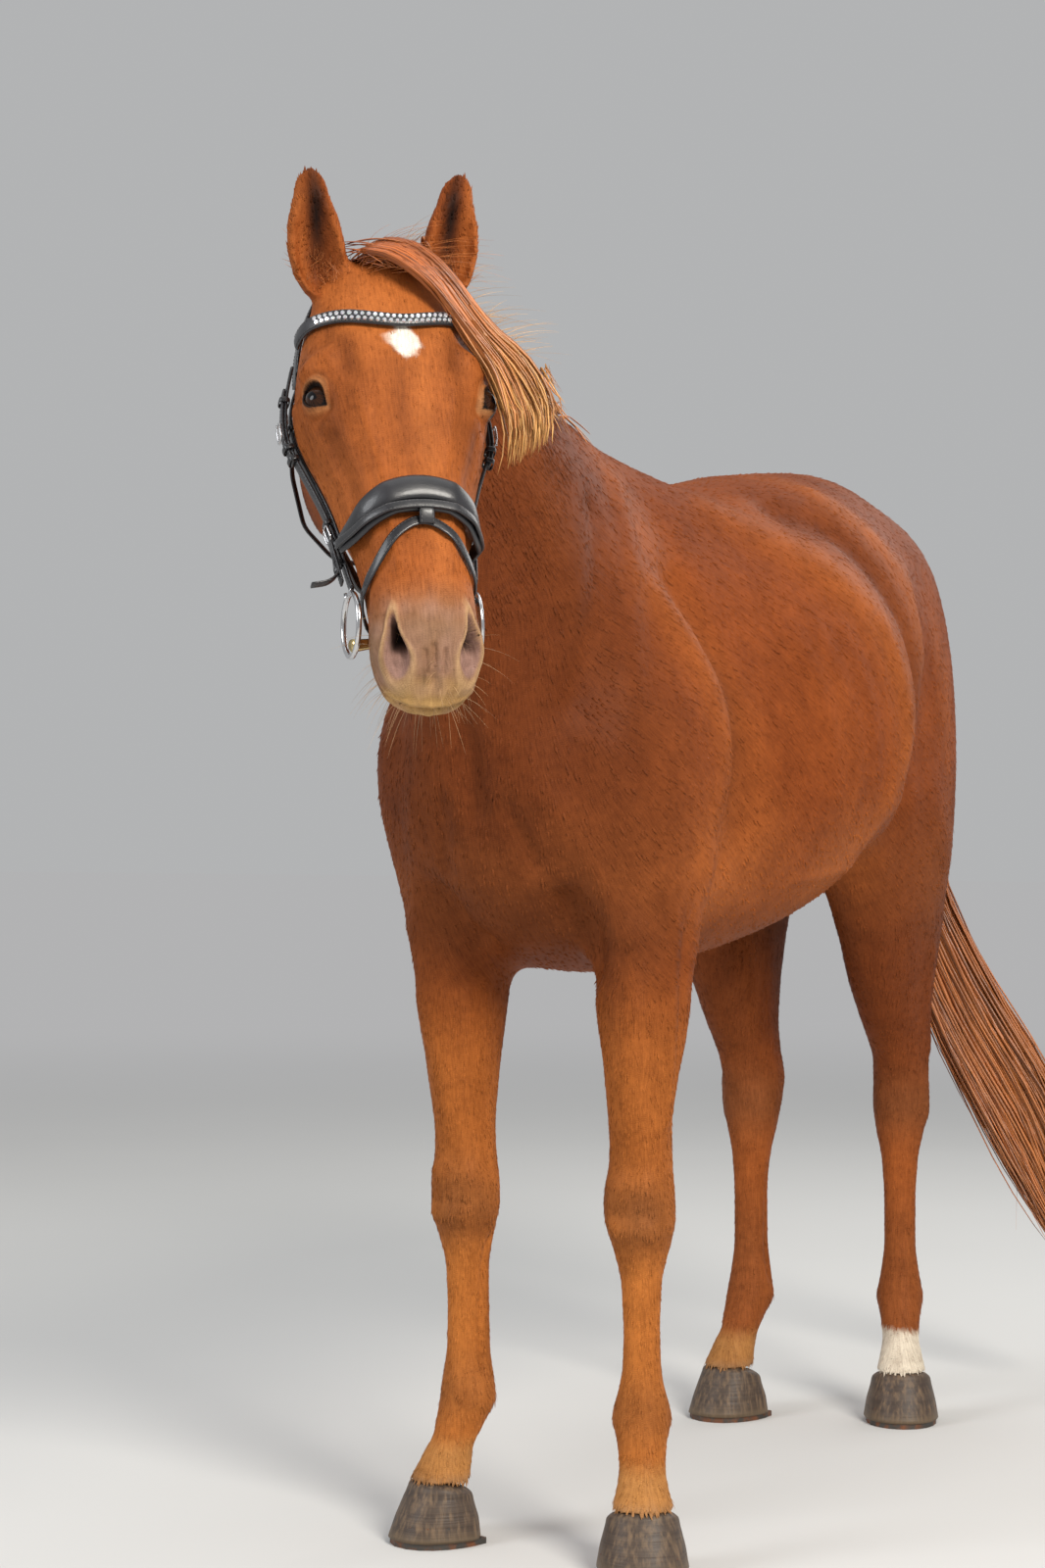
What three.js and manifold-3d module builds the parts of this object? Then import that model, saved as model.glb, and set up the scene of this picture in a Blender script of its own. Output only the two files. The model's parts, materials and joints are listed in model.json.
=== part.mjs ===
// A standing, bridled riding horse at life size, in millimetres.
// The horse faces -Y, its left side is +X, and it stands on the plane z = 0.
import * as THREE from 'three';
import { mergeVertices } from 'three/addons/utils/BufferGeometryUtils.js';
import Module from 'manifold-3d';

const wasm = await Module();
wasm.setup();

// ---- Driving dimensions -------------------------------------------------------------------
const gap = 0.3; // clearance between neighbouring pieces
const shoeThickness = 9;
const hoofHeight = 78; // from the shoe to the coronet at the toe

// Where the poll is, and how the head is carried: turned left, nose forward of the plumb line.
const poll = new THREE.Vector3(65, -562, 1784);
const headTurn = 41;
const headPitch = 28;
const headRoll = 1;

const eyeAt = { down: 196, deep: 46, out: 97, radius: 24 };
const earLength = 168;
const earSplay = 7; // how far each ear leans out, in degrees
const maneThickness = 15; // of the pulled mane, over the crest and the neck's right side

// Each lower leg stands over its own cannon, and turns out from there.
const foreStance = {
  left: { x: 166, y: 4, turnOut: 26 },
  right: { x: 137, y: 44, turnOut: 32 },
};
const hindStance = {
  left: { x: 127, y: 1200, turnOut: 22 },
  right: { x: 125, y: 1112, turnOut: 20 },
};

const coat = { color: 0xa9521f, roughness: 0.55, metalness: 0 };
const darkCoat = { color: 0x7a4526, roughness: 0.6, metalness: 0 };
const whiteCoat = { color: 0xe6dccb, roughness: 0.7, metalness: 0 };
const muzzleSkin = { color: 0x8f745c, roughness: 0.6, metalness: 0 };
const longHair = { color: 0xa65b24, roughness: 0.5, metalness: 0 };
const hornFinish = { color: 0x57493f, roughness: 0.5, metalness: 0 };
const eyeFinish = { color: 0x1d120c, roughness: 0.08, metalness: 0 };
const leatherFinish = { color: 0x2a2b30, roughness: 0.4, metalness: 0 };
const steelFinish = { color: 0xb9bbbd, roughness: 0.3, metalness: 1 };
const shoeFinish = { color: 0x6e6a66, roughness: 0.55, metalness: 1 };
const brassFinish = { color: 0xb9a061, roughness: 0.4, metalness: 1 };

// ---- Solids and booleans ------------------------------------------------------------------
const rad = THREE.MathUtils.degToRad;
const vec = (x, y, z) => new THREE.Vector3(x, y, z);
const smooth = (from, to, x) => {
  const f = THREE.MathUtils.clamp((x - from) / (to - from), 0, 1);
  return f * f * (3 - 2 * f);
};

function solidOf(geometry) {
  const bare = geometry.clone();
  bare.deleteAttribute('normal');
  bare.deleteAttribute('uv');
  const merged = mergeVertices(bare, 1e-3);
  const index = Array.from(merged.index.array);
  const faces = [];
  for (let i = 0; i < index.length; i += 3) {
    const [a, b, c] = index.slice(i, i + 3);
    if (a !== b && b !== c && c !== a) faces.push(a, b, c);
  }
  return new wasm.Manifold(new wasm.Mesh({
    numProp: 3,
    vertProperties: new Float32Array(merged.attributes.position.array),
    triVerts: new Uint32Array(faces),
  }));
}

function geometryOf(solid) {
  const mesh = solid.getMesh();
  const geometry = new THREE.BufferGeometry();
  geometry.setAttribute('position', new THREE.BufferAttribute(mesh.vertProperties, 3));
  geometry.setIndex(new THREE.BufferAttribute(mesh.triVerts, 1));
  return geometry;
}

const joined = (...solids) => solids.reduce((whole, piece) => whole.add(piece));

// A box of the given size whose low corner or middle is placed, then turned about its middle.
function block(low, high) {
  const size = high.clone().sub(low);
  const geometry = new THREE.BoxGeometry(size.x, size.y, size.z);
  geometry.translate(...low.clone().add(high).multiplyScalar(0.5).toArray());
  return solidOf(geometry);
}

// Everything on the far side of a plane: a large block whose near face lies on it.
function beyond(point, normal, reach = 900) {
  const geometry = new THREE.BoxGeometry(2 * reach, 2 * reach, 2 * reach);
  geometry.translate(0, 0, reach);
  const turn = new THREE.Quaternion().setFromUnitVectors(vec(0, 0, 1), normal.clone().normalize());
  geometry.applyQuaternion(turn);
  geometry.translate(point.x, point.y, point.z);
  return solidOf(geometry);
}

function spline(values, t) {
  const last = values.length - 1;
  const i = Math.min(Math.floor(t), last - 1);
  const f = t - i;
  const p1 = values[i];
  const p2 = values[i + 1];
  const p0 = i > 0 ? values[i - 1] : 2 * p1 - p2;
  const p3 = i + 2 <= last ? values[i + 2] : 2 * p2 - p1;
  const curve = 2 * p1 + (p2 - p0) * f + (2 * p0 - 5 * p1 + 4 * p2 - p3) * f * f
    + (3 * p1 - p0 - 3 * p2 + p3) * f * f * f;
  return curve / 2;
}

// A rounded body through sections. A station gives the section's top and bottom points, how far
// it reaches to the left and right of the line between them, where between bottom and top (0 to 1)
// it is widest, how square its upper and lower halves are, and which way its left side points.
function loft(stations, around, perStation) {
  const full = stations.map((s) => ({
    wide: 0.5, upper: 2, lower: 2, turn: 0, right: s.left, ...s,
  }));
  const at = (key, t) => spline(full.map((s) => s[key]), t);
  const pointAt = (key, t) => vec(...[0, 1, 2].map((k) => spline(full.map((s) => s[key][k]), t)));
  const along = (stations.length - 1) * perStation;
  const geometry = new THREE.SphereGeometry(1, around, along);
  const position = geometry.attributes.position;
  const uv = geometry.attributes.uv;
  for (let i = 0; i < position.count; i++) {
    const ring = Math.round((1 - uv.getY(i)) * along);
    const t = Math.min(ring / perStation, stations.length - 1);
    const angle = (i % (around + 1)) / around * 2 * Math.PI;
    const top = pointAt('top', t);
    const bottom = pointAt('bottom', t);
    const pole = ring === 0 || ring === along;
    const side = vec(Math.cos(rad(at('turn', t))), Math.sin(rad(at('turn', t))), 0);
    const middle = bottom.clone().lerp(top, at('wide', t));
    const c = Math.cos(angle);
    const s = Math.sin(angle);
    const power = 2 / at(s >= 0 ? 'upper' : 'lower', t);
    const reach = Math.max(at(c >= 0 ? 'left' : 'right', t), pole ? 0 : 1);
    const across = Math.sign(c) * Math.abs(c) ** power * (pole ? 0 : reach);
    const rise = Math.abs(s) ** power;
    const spot = middle.clone().lerp(s >= 0 ? top : bottom, pole ? 1 : rise);
    if (pole) spot.copy(top);
    spot.addScaledVector(side, across);
    position.setXYZ(i, spot.x, spot.y, spot.z);
  }
  return outward(geometry);
}

// Turns a closed geometry's faces outwards and makes it a solid.
function outward(geometry) {
  const index = geometry.index.array;
  const position = geometry.attributes.position;
  let volume = 0;
  for (let i = 0; i < index.length; i += 3) {
    const [a, b, c] = [0, 1, 2].map((k) => vec().fromBufferAttribute(position, index[i + k]));
    volume += a.dot(b.cross(c));
  }
  if (volume < 0) {
    for (let i = 0; i < index.length; i += 3) {
      [index[i], index[i + 1]] = [index[i + 1], index[i]];
    }
  }
  return solidOf(geometry);
}

// ---- The head's own directions ------------------------------------------------------------
const headAxes = (() => {
  const forward = vec(Math.sin(rad(headTurn)), -Math.cos(rad(headTurn)), 0);
  const left = vec(Math.cos(rad(headTurn)), Math.sin(rad(headTurn)), 0);
  const up = vec(0, 0, 1);
  const down = forward.clone().multiplyScalar(Math.sin(rad(headPitch)))
    .addScaledVector(up, -Math.cos(rad(headPitch)));
  const front = forward.clone().multiplyScalar(Math.cos(rad(headPitch)))
    .addScaledVector(up, Math.sin(rad(headPitch)));
  const c = Math.cos(rad(headRoll));
  const s = Math.sin(rad(headRoll));
  return {
    down: down.clone().multiplyScalar(c).addScaledVector(left, s),
    front,
    left: left.clone().multiplyScalar(c).addScaledVector(down, -s),
  };
})();

// A point of the head: how far down the face from the poll, how deep behind the face line,
// and how far out to the horse's left.
function onHead(down, deep, out) {
  return poll.clone().addScaledVector(headAxes.down, down)
    .addScaledVector(headAxes.front, -deep).addScaledVector(headAxes.left, out);
}

// An egg with its own three half-axes along directions down, front and left of the head.
function headEgg(down, deep, out, long, thick, wide, lean = 0, around = 12) {
  const geometry = new THREE.SphereGeometry(1, around, around * 0.75);
  geometry.scale(wide, thick, long);
  geometry.rotateX(rad(lean));
  const basis = new THREE.Matrix4().makeBasis(headAxes.left, headAxes.front,
    headAxes.down.clone().negate());
  geometry.applyMatrix4(basis);
  const at = onHead(down, deep, out);
  geometry.translate(at.x, at.y, at.z);
  return outward(geometry);
}

function egg(center, radii, around = 14) {
  const geometry = new THREE.SphereGeometry(1, around, Math.round(around * 0.7));
  geometry.scale(...radii);
  geometry.translate(...center);
  return outward(geometry);
}

// ---- Trunk and neck -----------------------------------------------------------------------
// Columns: distance back, top, bottom, half-width, widest place, squareness above and below.
const trunkSections = [
  [-214, 1165, 1165, 0, 0.5, 2, 2],
  [-198, 1250, 1070, 72, 0.5, 2, 2],
  [-150, 1380, 950, 148, 0.45, 2, 2],
  [-60, 1500, 872, 196, 0.45, 1.9, 2],
  [60, 1612, 836, 212, 0.42, 1.6, 2.1],
  [170, 1640, 824, 228, 0.42, 1.45, 2.1],
  [300, 1612, 830, 266, 0.44, 1.6, 2.1],
  [420, 1590, 838, 300, 0.46, 1.85, 2.1],
  [560, 1613, 858, 323, 0.46, 2, 2.1],
  [700, 1641, 888, 325, 0.45, 2, 2.1],
  [840, 1658, 935, 298, 0.46, 2, 2],
  [980, 1671, 1000, 244, 0.5, 1.95, 2],
  [1120, 1673, 1060, 208, 0.5, 1.8, 2],
  [1250, 1640, 1120, 172, 0.5, 1.7, 2],
  [1360, 1572, 1180, 130, 0.5, 1.7, 2],
  [1440, 1490, 1240, 80, 0.5, 2, 2],
  [1472, 1370, 1370, 0, 0.5, 2, 2],
];
const trunkStations = trunkSections.map(([y, top, bottom, left, wide, upper, lower]) => ({
  top: [0, y, top], bottom: [0, y, bottom], left, wide, upper, lower,
}));
const trunkShape = loft(trunkStations, 18, 1);

// The neck rises from between the shoulders and bends left to the poll.
const neckStations = [
  { top: [0, 240, 1380], bottom: [0, 240, 1380], left: 0 },
  { top: [0, 140, 1645], bottom: [0, 20, 1050], left: 150, wide: 0.4, upper: 1.5 },
  { top: [0, 40, 1670], bottom: [0, -150, 1080], left: 168, wide: 0.38, upper: 1.5 },
  { top: [0, -70, 1707], bottom: [0, -238, 1190], left: 142, wide: 0.4, upper: 1.6 },
  { top: [2, -190, 1752], bottom: [-6, -295, 1305], left: 116, wide: 0.42, turn: 6, upper: 1.6 },
  { top: [8, -320, 1790], bottom: [-18, -348, 1415], left: 98, wide: 0.45, turn: 15, upper: 1.6 },
  { top: [24, -430, 1808], bottom: [-34, -385, 1510], left: 88, wide: 0.5, turn: 27, upper: 1.7 },
  { top: [48, -520, 1800], bottom: [-40, -415, 1590], left: 80, wide: 0.55, turn: 38, upper: 1.9 },
  { top: [28, -515, 1730], bottom: [28, -515, 1730], left: 0, turn: 41 },
];
const neckShape = loft(neckStations, 14, 2);

// ---- Head ---------------------------------------------------------------------------------
// Columns: down the face, face line, underside, half-width, widest place, squareness.
const headSections = [
  [-12, 75, 75, 0, 0.6, 2, 2],
  [0, 6, 150, 68, 0.62, 2.1, 2],
  [45, -3, 205, 91, 0.66, 2.3, 2],
  [100, -12, 262, 109, 0.7, 2.5, 1.9],
  [150, -14, 284, 120, 0.7, 2.8, 1.8],
  [200, -10, 282, 123, 0.7, 2.7, 1.9],
  [255, -4, 252, 110, 0.72, 2.4, 2.1],
  [320, 3, 212, 88, 0.66, 2.3, 2.2],
  [390, 5, 170, 76, 0.62, 2.3, 2.2],
  [455, 6, 142, 68, 0.56, 2.3, 2.1],
  [515, 10, 134, 67, 0.54, 2.3, 2.2],
  [560, 20, 136, 67, 0.52, 2.3, 2.2],
  [598, 38, 126, 56, 0.5, 2.2, 2.2],
  [618, 66, 108, 32, 0.5, 2, 2],
  [624, 84, 84, 0, 0.5, 2, 2],
];
const headStations = headSections.map(([down, face, under, left, wide, upper, lower]) => ({
  top: onHead(down, face, 0).toArray(),
  bottom: onHead(down, under, 0).toArray(),
  left, wide, upper, lower, turn: headTurn,
}));
const headShape = loft(headStations, 16, 1);

const sides = [['left', 1], ['right', -1]];
const headDetail = sides.map(([, out]) => joined(
  headEgg(205, 182, out * 62, 122, 90, 36, 20, 10), // cheek
  headEgg(182, 40, out * 96, 42, 32, 28, 0, 8), // brow over the eye
  headEgg(545, 60, out * 45, 42, 34, 27, 12, 8), // nostril wing
));
const chin = headEgg(556, 132, 0, 34, 20, 36, 0, 8);

// The ears: cups with the opening turned forward, a little out, and their tips curved in.
const earRows = [
  [-16, 0, 0], [0, 25, 26], [26, 36, 31], [58, 39, 29], [92, 35, 23], [122, 25, 16],
  [146, 12, 9], [earLength, 0, 0],
];

function earShape(out) {
  const cup = (wall, forward, shorten) => loft(earRows.map(([z, half, depth]) => {
    const bow = 4 * Math.sin(Math.PI * z / earLength);
    const height = z * (1 - shorten) + 30 * shorten;
    const thick = Math.max(depth - wall, 0);
    return {
      top: [bow, thick + forward, height],
      bottom: [bow, forward - thick, height],
      left: Math.max(half - wall, 0),
    };
  }), 9, 1);
  const hollowed = cup(0, 0, 0).subtract(cup(6, -19, 0.14));
  const geometry = geometryOf(hollowed);
  geometry.scale(out, 1, 1);
  geometry.rotateX(rad(4));
  geometry.rotateY(rad(out * earSplay));
  geometry.rotateZ(rad(headTurn + out * 8));
  const base = onHead(36, 40, out * 76);
  geometry.translate(base.x, base.y, base.z);
  return outward(geometry);
}

// ---- Legs ---------------------------------------------------------------------------------
// Columns: height, front, back (both from the cannon's middle line), middle from the horse's
// midline at the body and from the cannon below, outer reach, inner reach.
const foreSections = [
  [1520, 120, 120, -60, 0, 0],
  [1478, 62, 180, -56, 22, 34],
  [1405, 2, 212, -44, 48, 62],
  [1325, -62, 220, -29, 76, 80],
  [1230, -128, 218, -18, 98, 80],
  [1150, -166, 212, -14, 108, 90],
  [1080, -160, 212, -10, 104, 95],
  [1000, -126, 204, -4, 90, 88],
  [930, -102, 168, 0, 76, 84],
  [870, -90, 126, 2, 66, 76],
  [800, -82, 96, 2, 60, 66],
  [710, -68, 68, 2, 53, 54],
  [620, -55, 48, 0, 46, 45],
  [570, -50, 46, 0, 46, 46],
  [530, -56, 46, 0, 51, 54],
  [490, -55, 49, 0, 51, 54],
  [452, -44, 44, 0, 42, 42],
  [410, -33, 37, 0, 31, 31],
  [340, -30, 37, 0, 28, 28],
  [275, -31, 38, 0, 30, 30],
  [240, -36, 42, 0, 38, 38],
  [208, -40, 45, 0, 42, 42],
  [172, -48, 28, 0, 36, 36],
  [138, -64, 10, 0, 34, 34],
  [108, -80, 2, 0, 40, 40],
  [90, -92, 2, 0, 48, 48],
  [89, -40, -40, 0, 0, 0],
];
const hindSections = [
  [1610, -70, -70, 0, 0, 0],
  [1580, -180, 50, 0, 44, 60],
  [1510, -290, 150, 0, 84, 90],
  [1400, -320, 215, 0, 100, 100],
  [1300, -330, 238, 0, 107, 105],
  [1200, -328, 238, 0, 111, 105],
  [1100, -316, 212, 3, 112, 100],
  [1010, -300, 178, 8, 104, 94],
  [930, -272, 148, 10, 90, 82],
  [860, -226, 122, 10, 77, 70],
  [780, -188, 96, 8, 63, 64],
  [700, -130, 82, 4, 51, 54],
  [645, -78, 86, 2, 46, 48],
  [600, -54, 88, 0, 49, 50],
  [550, -46, 66, 0, 49, 50],
  [505, -38, 52, 0, 43, 43],
  [465, -32, 42, 0, 34, 34],
  [400, -29, 37, 0, 29, 29],
  [300, -29, 37, 0, 29, 29],
  [252, -34, 42, 0, 36, 36],
  [215, -42, 44, 0, 41, 41],
  [178, -54, 26, 0, 36, 36],
  [142, -72, 6, 0, 33, 33],
  [110, -90, -6, 0, 39, 39],
  [90, -102, -8, 0, 46, 46],
  [89, -50, -50, 0, 0, 0],
];

// Where a leg's middle line is at a height, and how far it has turned out by then.
function legPlace(stance, bodyX, bodyY, height, turnFrom, turnTo) {
  const down = smooth(1150, 620, height);
  return {
    x: THREE.MathUtils.lerp(bodyX, stance.x, down),
    y: THREE.MathUtils.lerp(bodyY, stance.y, down),
    turn: stance.turnOut * smooth(turnFrom, turnTo, height),
  };
}

function legShape(sections, stance, out, body, around = 11) {
  return loft(sections.map(([z, front, back, shift, outer, inner]) => {
    const place = legPlace(stance, body.x, body.y, z, body.turnFrom, body.turnTo);
    const turn = rad(place.turn);
    const spot = (y) => [
      out * (place.x + shift + -y * Math.sin(turn)),
      place.y + y * Math.cos(turn),
      z,
    ];
    return {
      top: spot(front),
      bottom: spot(back),
      left: out > 0 ? outer : inner,
      right: out > 0 ? inner : outer,
      turn: out * place.turn,
      upper: 2.2,
      lower: 2,
    };
  }), around, 1);
}

const foreBody = { x: 154, y: 14, turnFrom: 560, turnTo: 330 };
const hindBody = { x: 125, y: 1144, turnFrom: 760, turnTo: 420 };

// ---- Hooves and shoes ---------------------------------------------------------------------
// A hoof's outline at a height: round at the toe, straighter towards the heels.
function hoofShape(stance, out, toe) {
  const rows = [
    { z: shoeThickness + gap, half: 66, front: -62 - toe, back: 62, power: 2.3 },
    { z: shoeThickness + 30, half: 61, front: -50 - toe, back: 60, power: 2.3 },
    { z: shoeThickness + hoofHeight, half: 51, front: -27 - toe, back: 52, power: 2.2 },
  ];
  const stations = [
    { ...rows[0], half: 0 }, rows[0], rows[1], rows[2], { ...rows[2], half: 0 },
  ];
  const around = 18;
  const geometry = new THREE.SphereGeometry(1, around, stations.length - 1);
  const position = geometry.attributes.position;
  const uv = geometry.attributes.uv;
  for (let i = 0; i < position.count; i++) {
    const row = stations[Math.round((1 - uv.getY(i)) * (stations.length - 1))];
    const angle = (i % (around + 1)) / around * 2 * Math.PI;
    const c = Math.cos(angle);
    const s = Math.sin(angle);
    const middle = row.half ? 0.3 * row.back : 0;
    const x = Math.sign(c) * Math.abs(c) ** (2 / row.power) * row.half;
    const reach = s >= 0 ? row.back - middle : middle - row.front;
    const y = row.half ? middle + Math.sign(s) * Math.abs(s) ** (2 / row.power) * reach : 0;
    const slope = row.z > 60 ? -14 * smooth(0, 1, (y + 40) / 90) : 0;
    position.setXYZ(i, x, y, row.z + slope);
  }
  return placeOnFoot(geometry, stance, out, toe);
}

// Sets a foot's geometry under its pastern, toe turned out with the leg.
function placeOnFoot(geometry, stance, out, toe) {
  geometry.translate(0, -52 - toe * 0.5, 0);
  geometry.rotateZ(rad(out * stance.turnOut));
  geometry.translate(out * stance.x, stance.y, 0);
  return outward(mergeVertices(geometry));
}

function shoeShape(stance, out, toe) {
  const outline = new THREE.Shape();
  const half = 64;
  const web = 22;
  const heel = 58;
  outline.moveTo(half - 12, heel);
  outline.bezierCurveTo(half + 8, 10, half, -58 - toe, 0, -61 - toe);
  outline.bezierCurveTo(-half, -58 - toe, -half - 8, 10, 12 - half, heel);
  outline.lineTo(12 - half + web, heel - 4);
  outline.bezierCurveTo(-half + web - 2, 0, -half + web, -40 - toe, 0, -61 - toe + web);
  outline.bezierCurveTo(half - web, -40 - toe, half - web + 2, 0, half - 12 - web, heel - 4);
  outline.closePath();
  const geometry = new THREE.ExtrudeGeometry(outline, {
    depth: shoeThickness, bevelEnabled: false, curveSegments: 7,
  });
  return placeOnFoot(mergeVertices(geometry), stance, out, toe);
}

// ---- What lies on the surface: straps and long hair ------------------------------------------
// A closed sheet: place(u, v, outer) gives its inner and outer skins, u along and v across.
function sheet(along, across, place) {
  const geometry = new THREE.BoxGeometry(1, 1, 1, across, 1, along);
  const position = geometry.attributes.position;
  for (let i = 0; i < position.count; i++) {
    const v = position.getX(i) + 0.5;
    const u = position.getZ(i) + 0.5;
    const spot = place(u, v, position.getY(i) > 0);
    position.setXYZ(i, spot.x, spot.y, spot.z);
  }
  return outward(mergeVertices(geometry));
}

// How far a ray from inside reaches the outermost skin of a solid.
function reachOf(solid) {
  const geometry = geometryOf(solid);
  geometry.computeBoundingSphere();
  const mesh = new THREE.Mesh(geometry, new THREE.MeshBasicMaterial({ side: THREE.DoubleSide }));
  return (origin, way) => {
    const ray = new THREE.Raycaster(origin, way.clone().normalize());
    const hits = ray.intersectObject(mesh);
    return hits.length ? hits[0].distance : 0;
  };
}

const headOnly = joined(headShape, ...headDetail, chin);
const headReach = reachOf(headOnly);
const carrierReach = reachOf(joined(headOnly, neckShape));

// A strap round the head. ray(u) gives a start inside the head and a way out; the strap lies on
// the farthest skin met near each place, looking over its own width and to both neighbours.
function strap(ray, { along, width, thickness, clearance = 2, reach = headReach, spread }) {
  const widthAt = typeof width === 'function' ? width : () => width;
  const thicknessAt = typeof thickness === 'function' ? thickness : () => thickness;
  const spots = [];
  for (let i = 0; i <= along; i++) {
    let far = 0;
    for (const step of [-0.5, 0, 0.5]) {
      for (const side of [-0.5, 0, 0.5]) {
        const u = THREE.MathUtils.clamp((i + step) / along, 0, 1);
        const { start, way } = ray(u);
        const from = start.clone().addScaledVector(spread, side * widthAt(u));
        far = Math.max(far, reach(from, way.clone().normalize()));
      }
    }
    const { start, way } = ray(i / along);
    const out = way.clone().normalize();
    spots.push({ at: start.clone().addScaledVector(out, far + clearance), out });
  }
  return band(spots, widthAt, thicknessAt);
}

// A flat band through spots, each with the way its face looks.
function band(spots, widthAt, thicknessAt) {
  const along = spots.length - 1;
  return sheet(along, 1, (u, v, outer) => {
    const i = Math.round(u * along);
    const before = spots[Math.max(i - 1, 0)].at;
    const tangent = spots[Math.min(i + 1, along)].at.clone().sub(before).normalize();
    const across = tangent.clone().cross(spots[i].out).normalize();
    const normal = across.clone().cross(tangent).normalize();
    return spots[i].at.clone().addScaledVector(across, (v - 0.5) * widthAt(u))
      .addScaledVector(normal, outer ? thicknessAt(u) : 0);
  });
}

// A ray across the head at an angle: 0 is the horse's left, 90 the face, 180 its right.
function roundHead(angle, down, deep) {
  const way = headAxes.left.clone().multiplyScalar(Math.cos(rad(angle)))
    .addScaledVector(headAxes.front, Math.sin(rad(angle)));
  return { start: onHead(down, deep, 0), way };
}

const frontness = (u) => Math.max(0, Math.sin(rad(-82 + 344 * u)));
const noseband = strap((u) => {
  const angle = -82 + 344 * u;
  return roundHead(angle, 391 - 20 * Math.sin(rad(angle)), 82);
}, {
  along: 18,
  width: (u) => 22 + 28 * frontness(u) ** 0.7,
  thickness: (u) => 5 + 9 * frontness(u) ** 0.7,
  spread: headAxes.down,
});
const flash = strap((u) => {
  const lift = Math.sin(rad(-78 + 336 * u));
  return roundHead(-78 + 336 * u, 466 - (lift > 0 ? 56 : 44) * lift, 78);
}, { along: 16, width: 13, thickness: 4, clearance: 3, spread: headAxes.down });
const browband = strap((u) => roundHead(6 + 168 * u, 96 + 10 * Math.sin(Math.PI * u), 76),
  { along: 12, width: 18, thickness: 8, clearance: 3, spread: headAxes.down });
const headpiece = strap((u) => {
  const angle = rad(-20 + 220 * u);
  const back = headAxes.down.clone().negate().addScaledVector(headAxes.front, 0.3);
  const way = headAxes.left.clone().multiplyScalar(Math.cos(angle))
    .addScaledVector(back, Math.sin(angle));
  return { start: onHead(74, 112, 0), way };
}, { along: 12, width: 30, thickness: 5, clearance: 4, spread: headAxes.front, reach: carrierReach });

// The throatlash hangs loose behind the cheeks and passes under the throat.
const throatSpots = [
  [126, 158, 100], [152, 188, 104], [190, 222, 104], [246, 258, 88], [280, 280, 50],
].map(([down, deep, out]) => {
  const side = headReach(onHead(down, deep, 0), headAxes.left);
  return [down, deep, Math.max(out, side + 5)];
});
const throatlash = band([
  ...throatSpots,
  [288, 286, 0],
  ...throatSpots.slice().reverse().map(([down, deep, out]) => [down, deep, -out]),
].map(([down, deep, out]) => ({
  at: onHead(down, deep, out),
  out: headAxes.left.clone().multiplyScalar(out / 110)
    .addScaledVector(headAxes.front, -1 + Math.abs(out) / 120)
    .addScaledVector(headAxes.down, 0.6 - Math.abs(out) / 190),
})), () => 13, () => 4);

const cheekStraps = Object.fromEntries(sides.map(([name, out]) => [name, {
  cheekpiece: strap((u) => ({
    start: onHead(116 + 324 * u, 106 + 8 * Math.sin(Math.PI * u), 0),
    way: headAxes.left.clone().multiplyScalar(out),
  }), { along: 10, width: 16, thickness: 6, clearance: 10.5, spread: headAxes.front }),
  hanger: strap((u) => ({
    start: onHead(124 + 220 * u, 130 - 20 * u, 0),
    way: headAxes.left.clone().multiplyScalar(out),
  }), { along: 8, width: 12, thickness: 4, clearance: 2, spread: headAxes.front }),
}]));

// A loose-ring snaffle: each ring hangs at the corner of the mouth with an end of the mouthpiece.
function bitShape(out) {
  const ring = new THREE.TorusGeometry(37, 4, 5, 12);
  const stub = new THREE.CylinderGeometry(8, 9, 13, 6);
  stub.rotateX(Math.PI / 2);
  stub.translate(0, -35, -5);
  const way = headAxes.left.clone().multiplyScalar(out);
  const seat = Math.max(...[0, 60, 120, 180, 240, 300].map((angle) => headReach(
    onHead(486 + 37 * Math.cos(rad(angle)), 112 + 37 * Math.sin(rad(angle)), 0), way)));
  const basis = new THREE.Matrix4().makeBasis(headAxes.front,
    headAxes.down.clone().negate(), headAxes.left.clone().multiplyScalar(out));
  const at = onHead(486, 112, out * (seat + 13));
  return joined(...[ring, stub].map((geometry) => {
    geometry.rotateY(rad(-4));
    geometry.applyMatrix4(basis);
    geometry.translate(at.x, at.y, at.z);
    return outward(geometry);
  }));
}

const grown = (stations, by) => stations.map((station) => {
  const across = vec(...station.top).sub(vec(...station.bottom)).normalize().multiplyScalar(by);
  return {
    ...station,
    top: vec(...station.top).add(across).toArray(),
    bottom: vec(...station.bottom).sub(across).toArray(),
    left: station.left ? station.left + by : 0,
  };
});
const maneShape = loft(grown(neckStations, maneThickness), 14, 2)
  .intersect(loft(grown(neckStations, maneThickness), 14, 2).translate([-15, -4, 13]))
  .intersect(beyond(vec(0, 0, 1566), vec(0, 0.32, 1)))
  .intersect(beyond(vec(20, -425, 1800), vec(-0.35, 0.9, 0.1)))
  .intersect(beyond(vec(0, 40, 1600), vec(0, -1, 0)))
  .subtract(loft(grown(neckStations, 3), 14, 2))
  .subtract(loft(grown(trunkStations, 3), 18, 1))
  .subtract(loft(grown(headStations, 3), 16, 1));

// The forelock starts between the ears and is blown over the left brow, clear of the cheek.
const forelockShape = loft([
  [2, -22, -12, 0, 0], [26, -34, 8, 20, 6], [62, -36, 48, 26, 9], [108, -26, 92, 32, 10],
  [165, -6, 124, 33, 10], [230, 14, 142, 30, 9], [284, 28, 150, 19, 6], [322, 34, 154, 0, 0],
].map(([down, deep, out, half, thick]) => ({
  top: onHead(down - half * 0.5, deep, out + half * 0.86).toArray(),
  bottom: onHead(down + half * 0.5, deep, out - half * 0.86).toArray(),
  left: thick,
  turn: headTurn - 90,
})), 10, 1);

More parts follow.
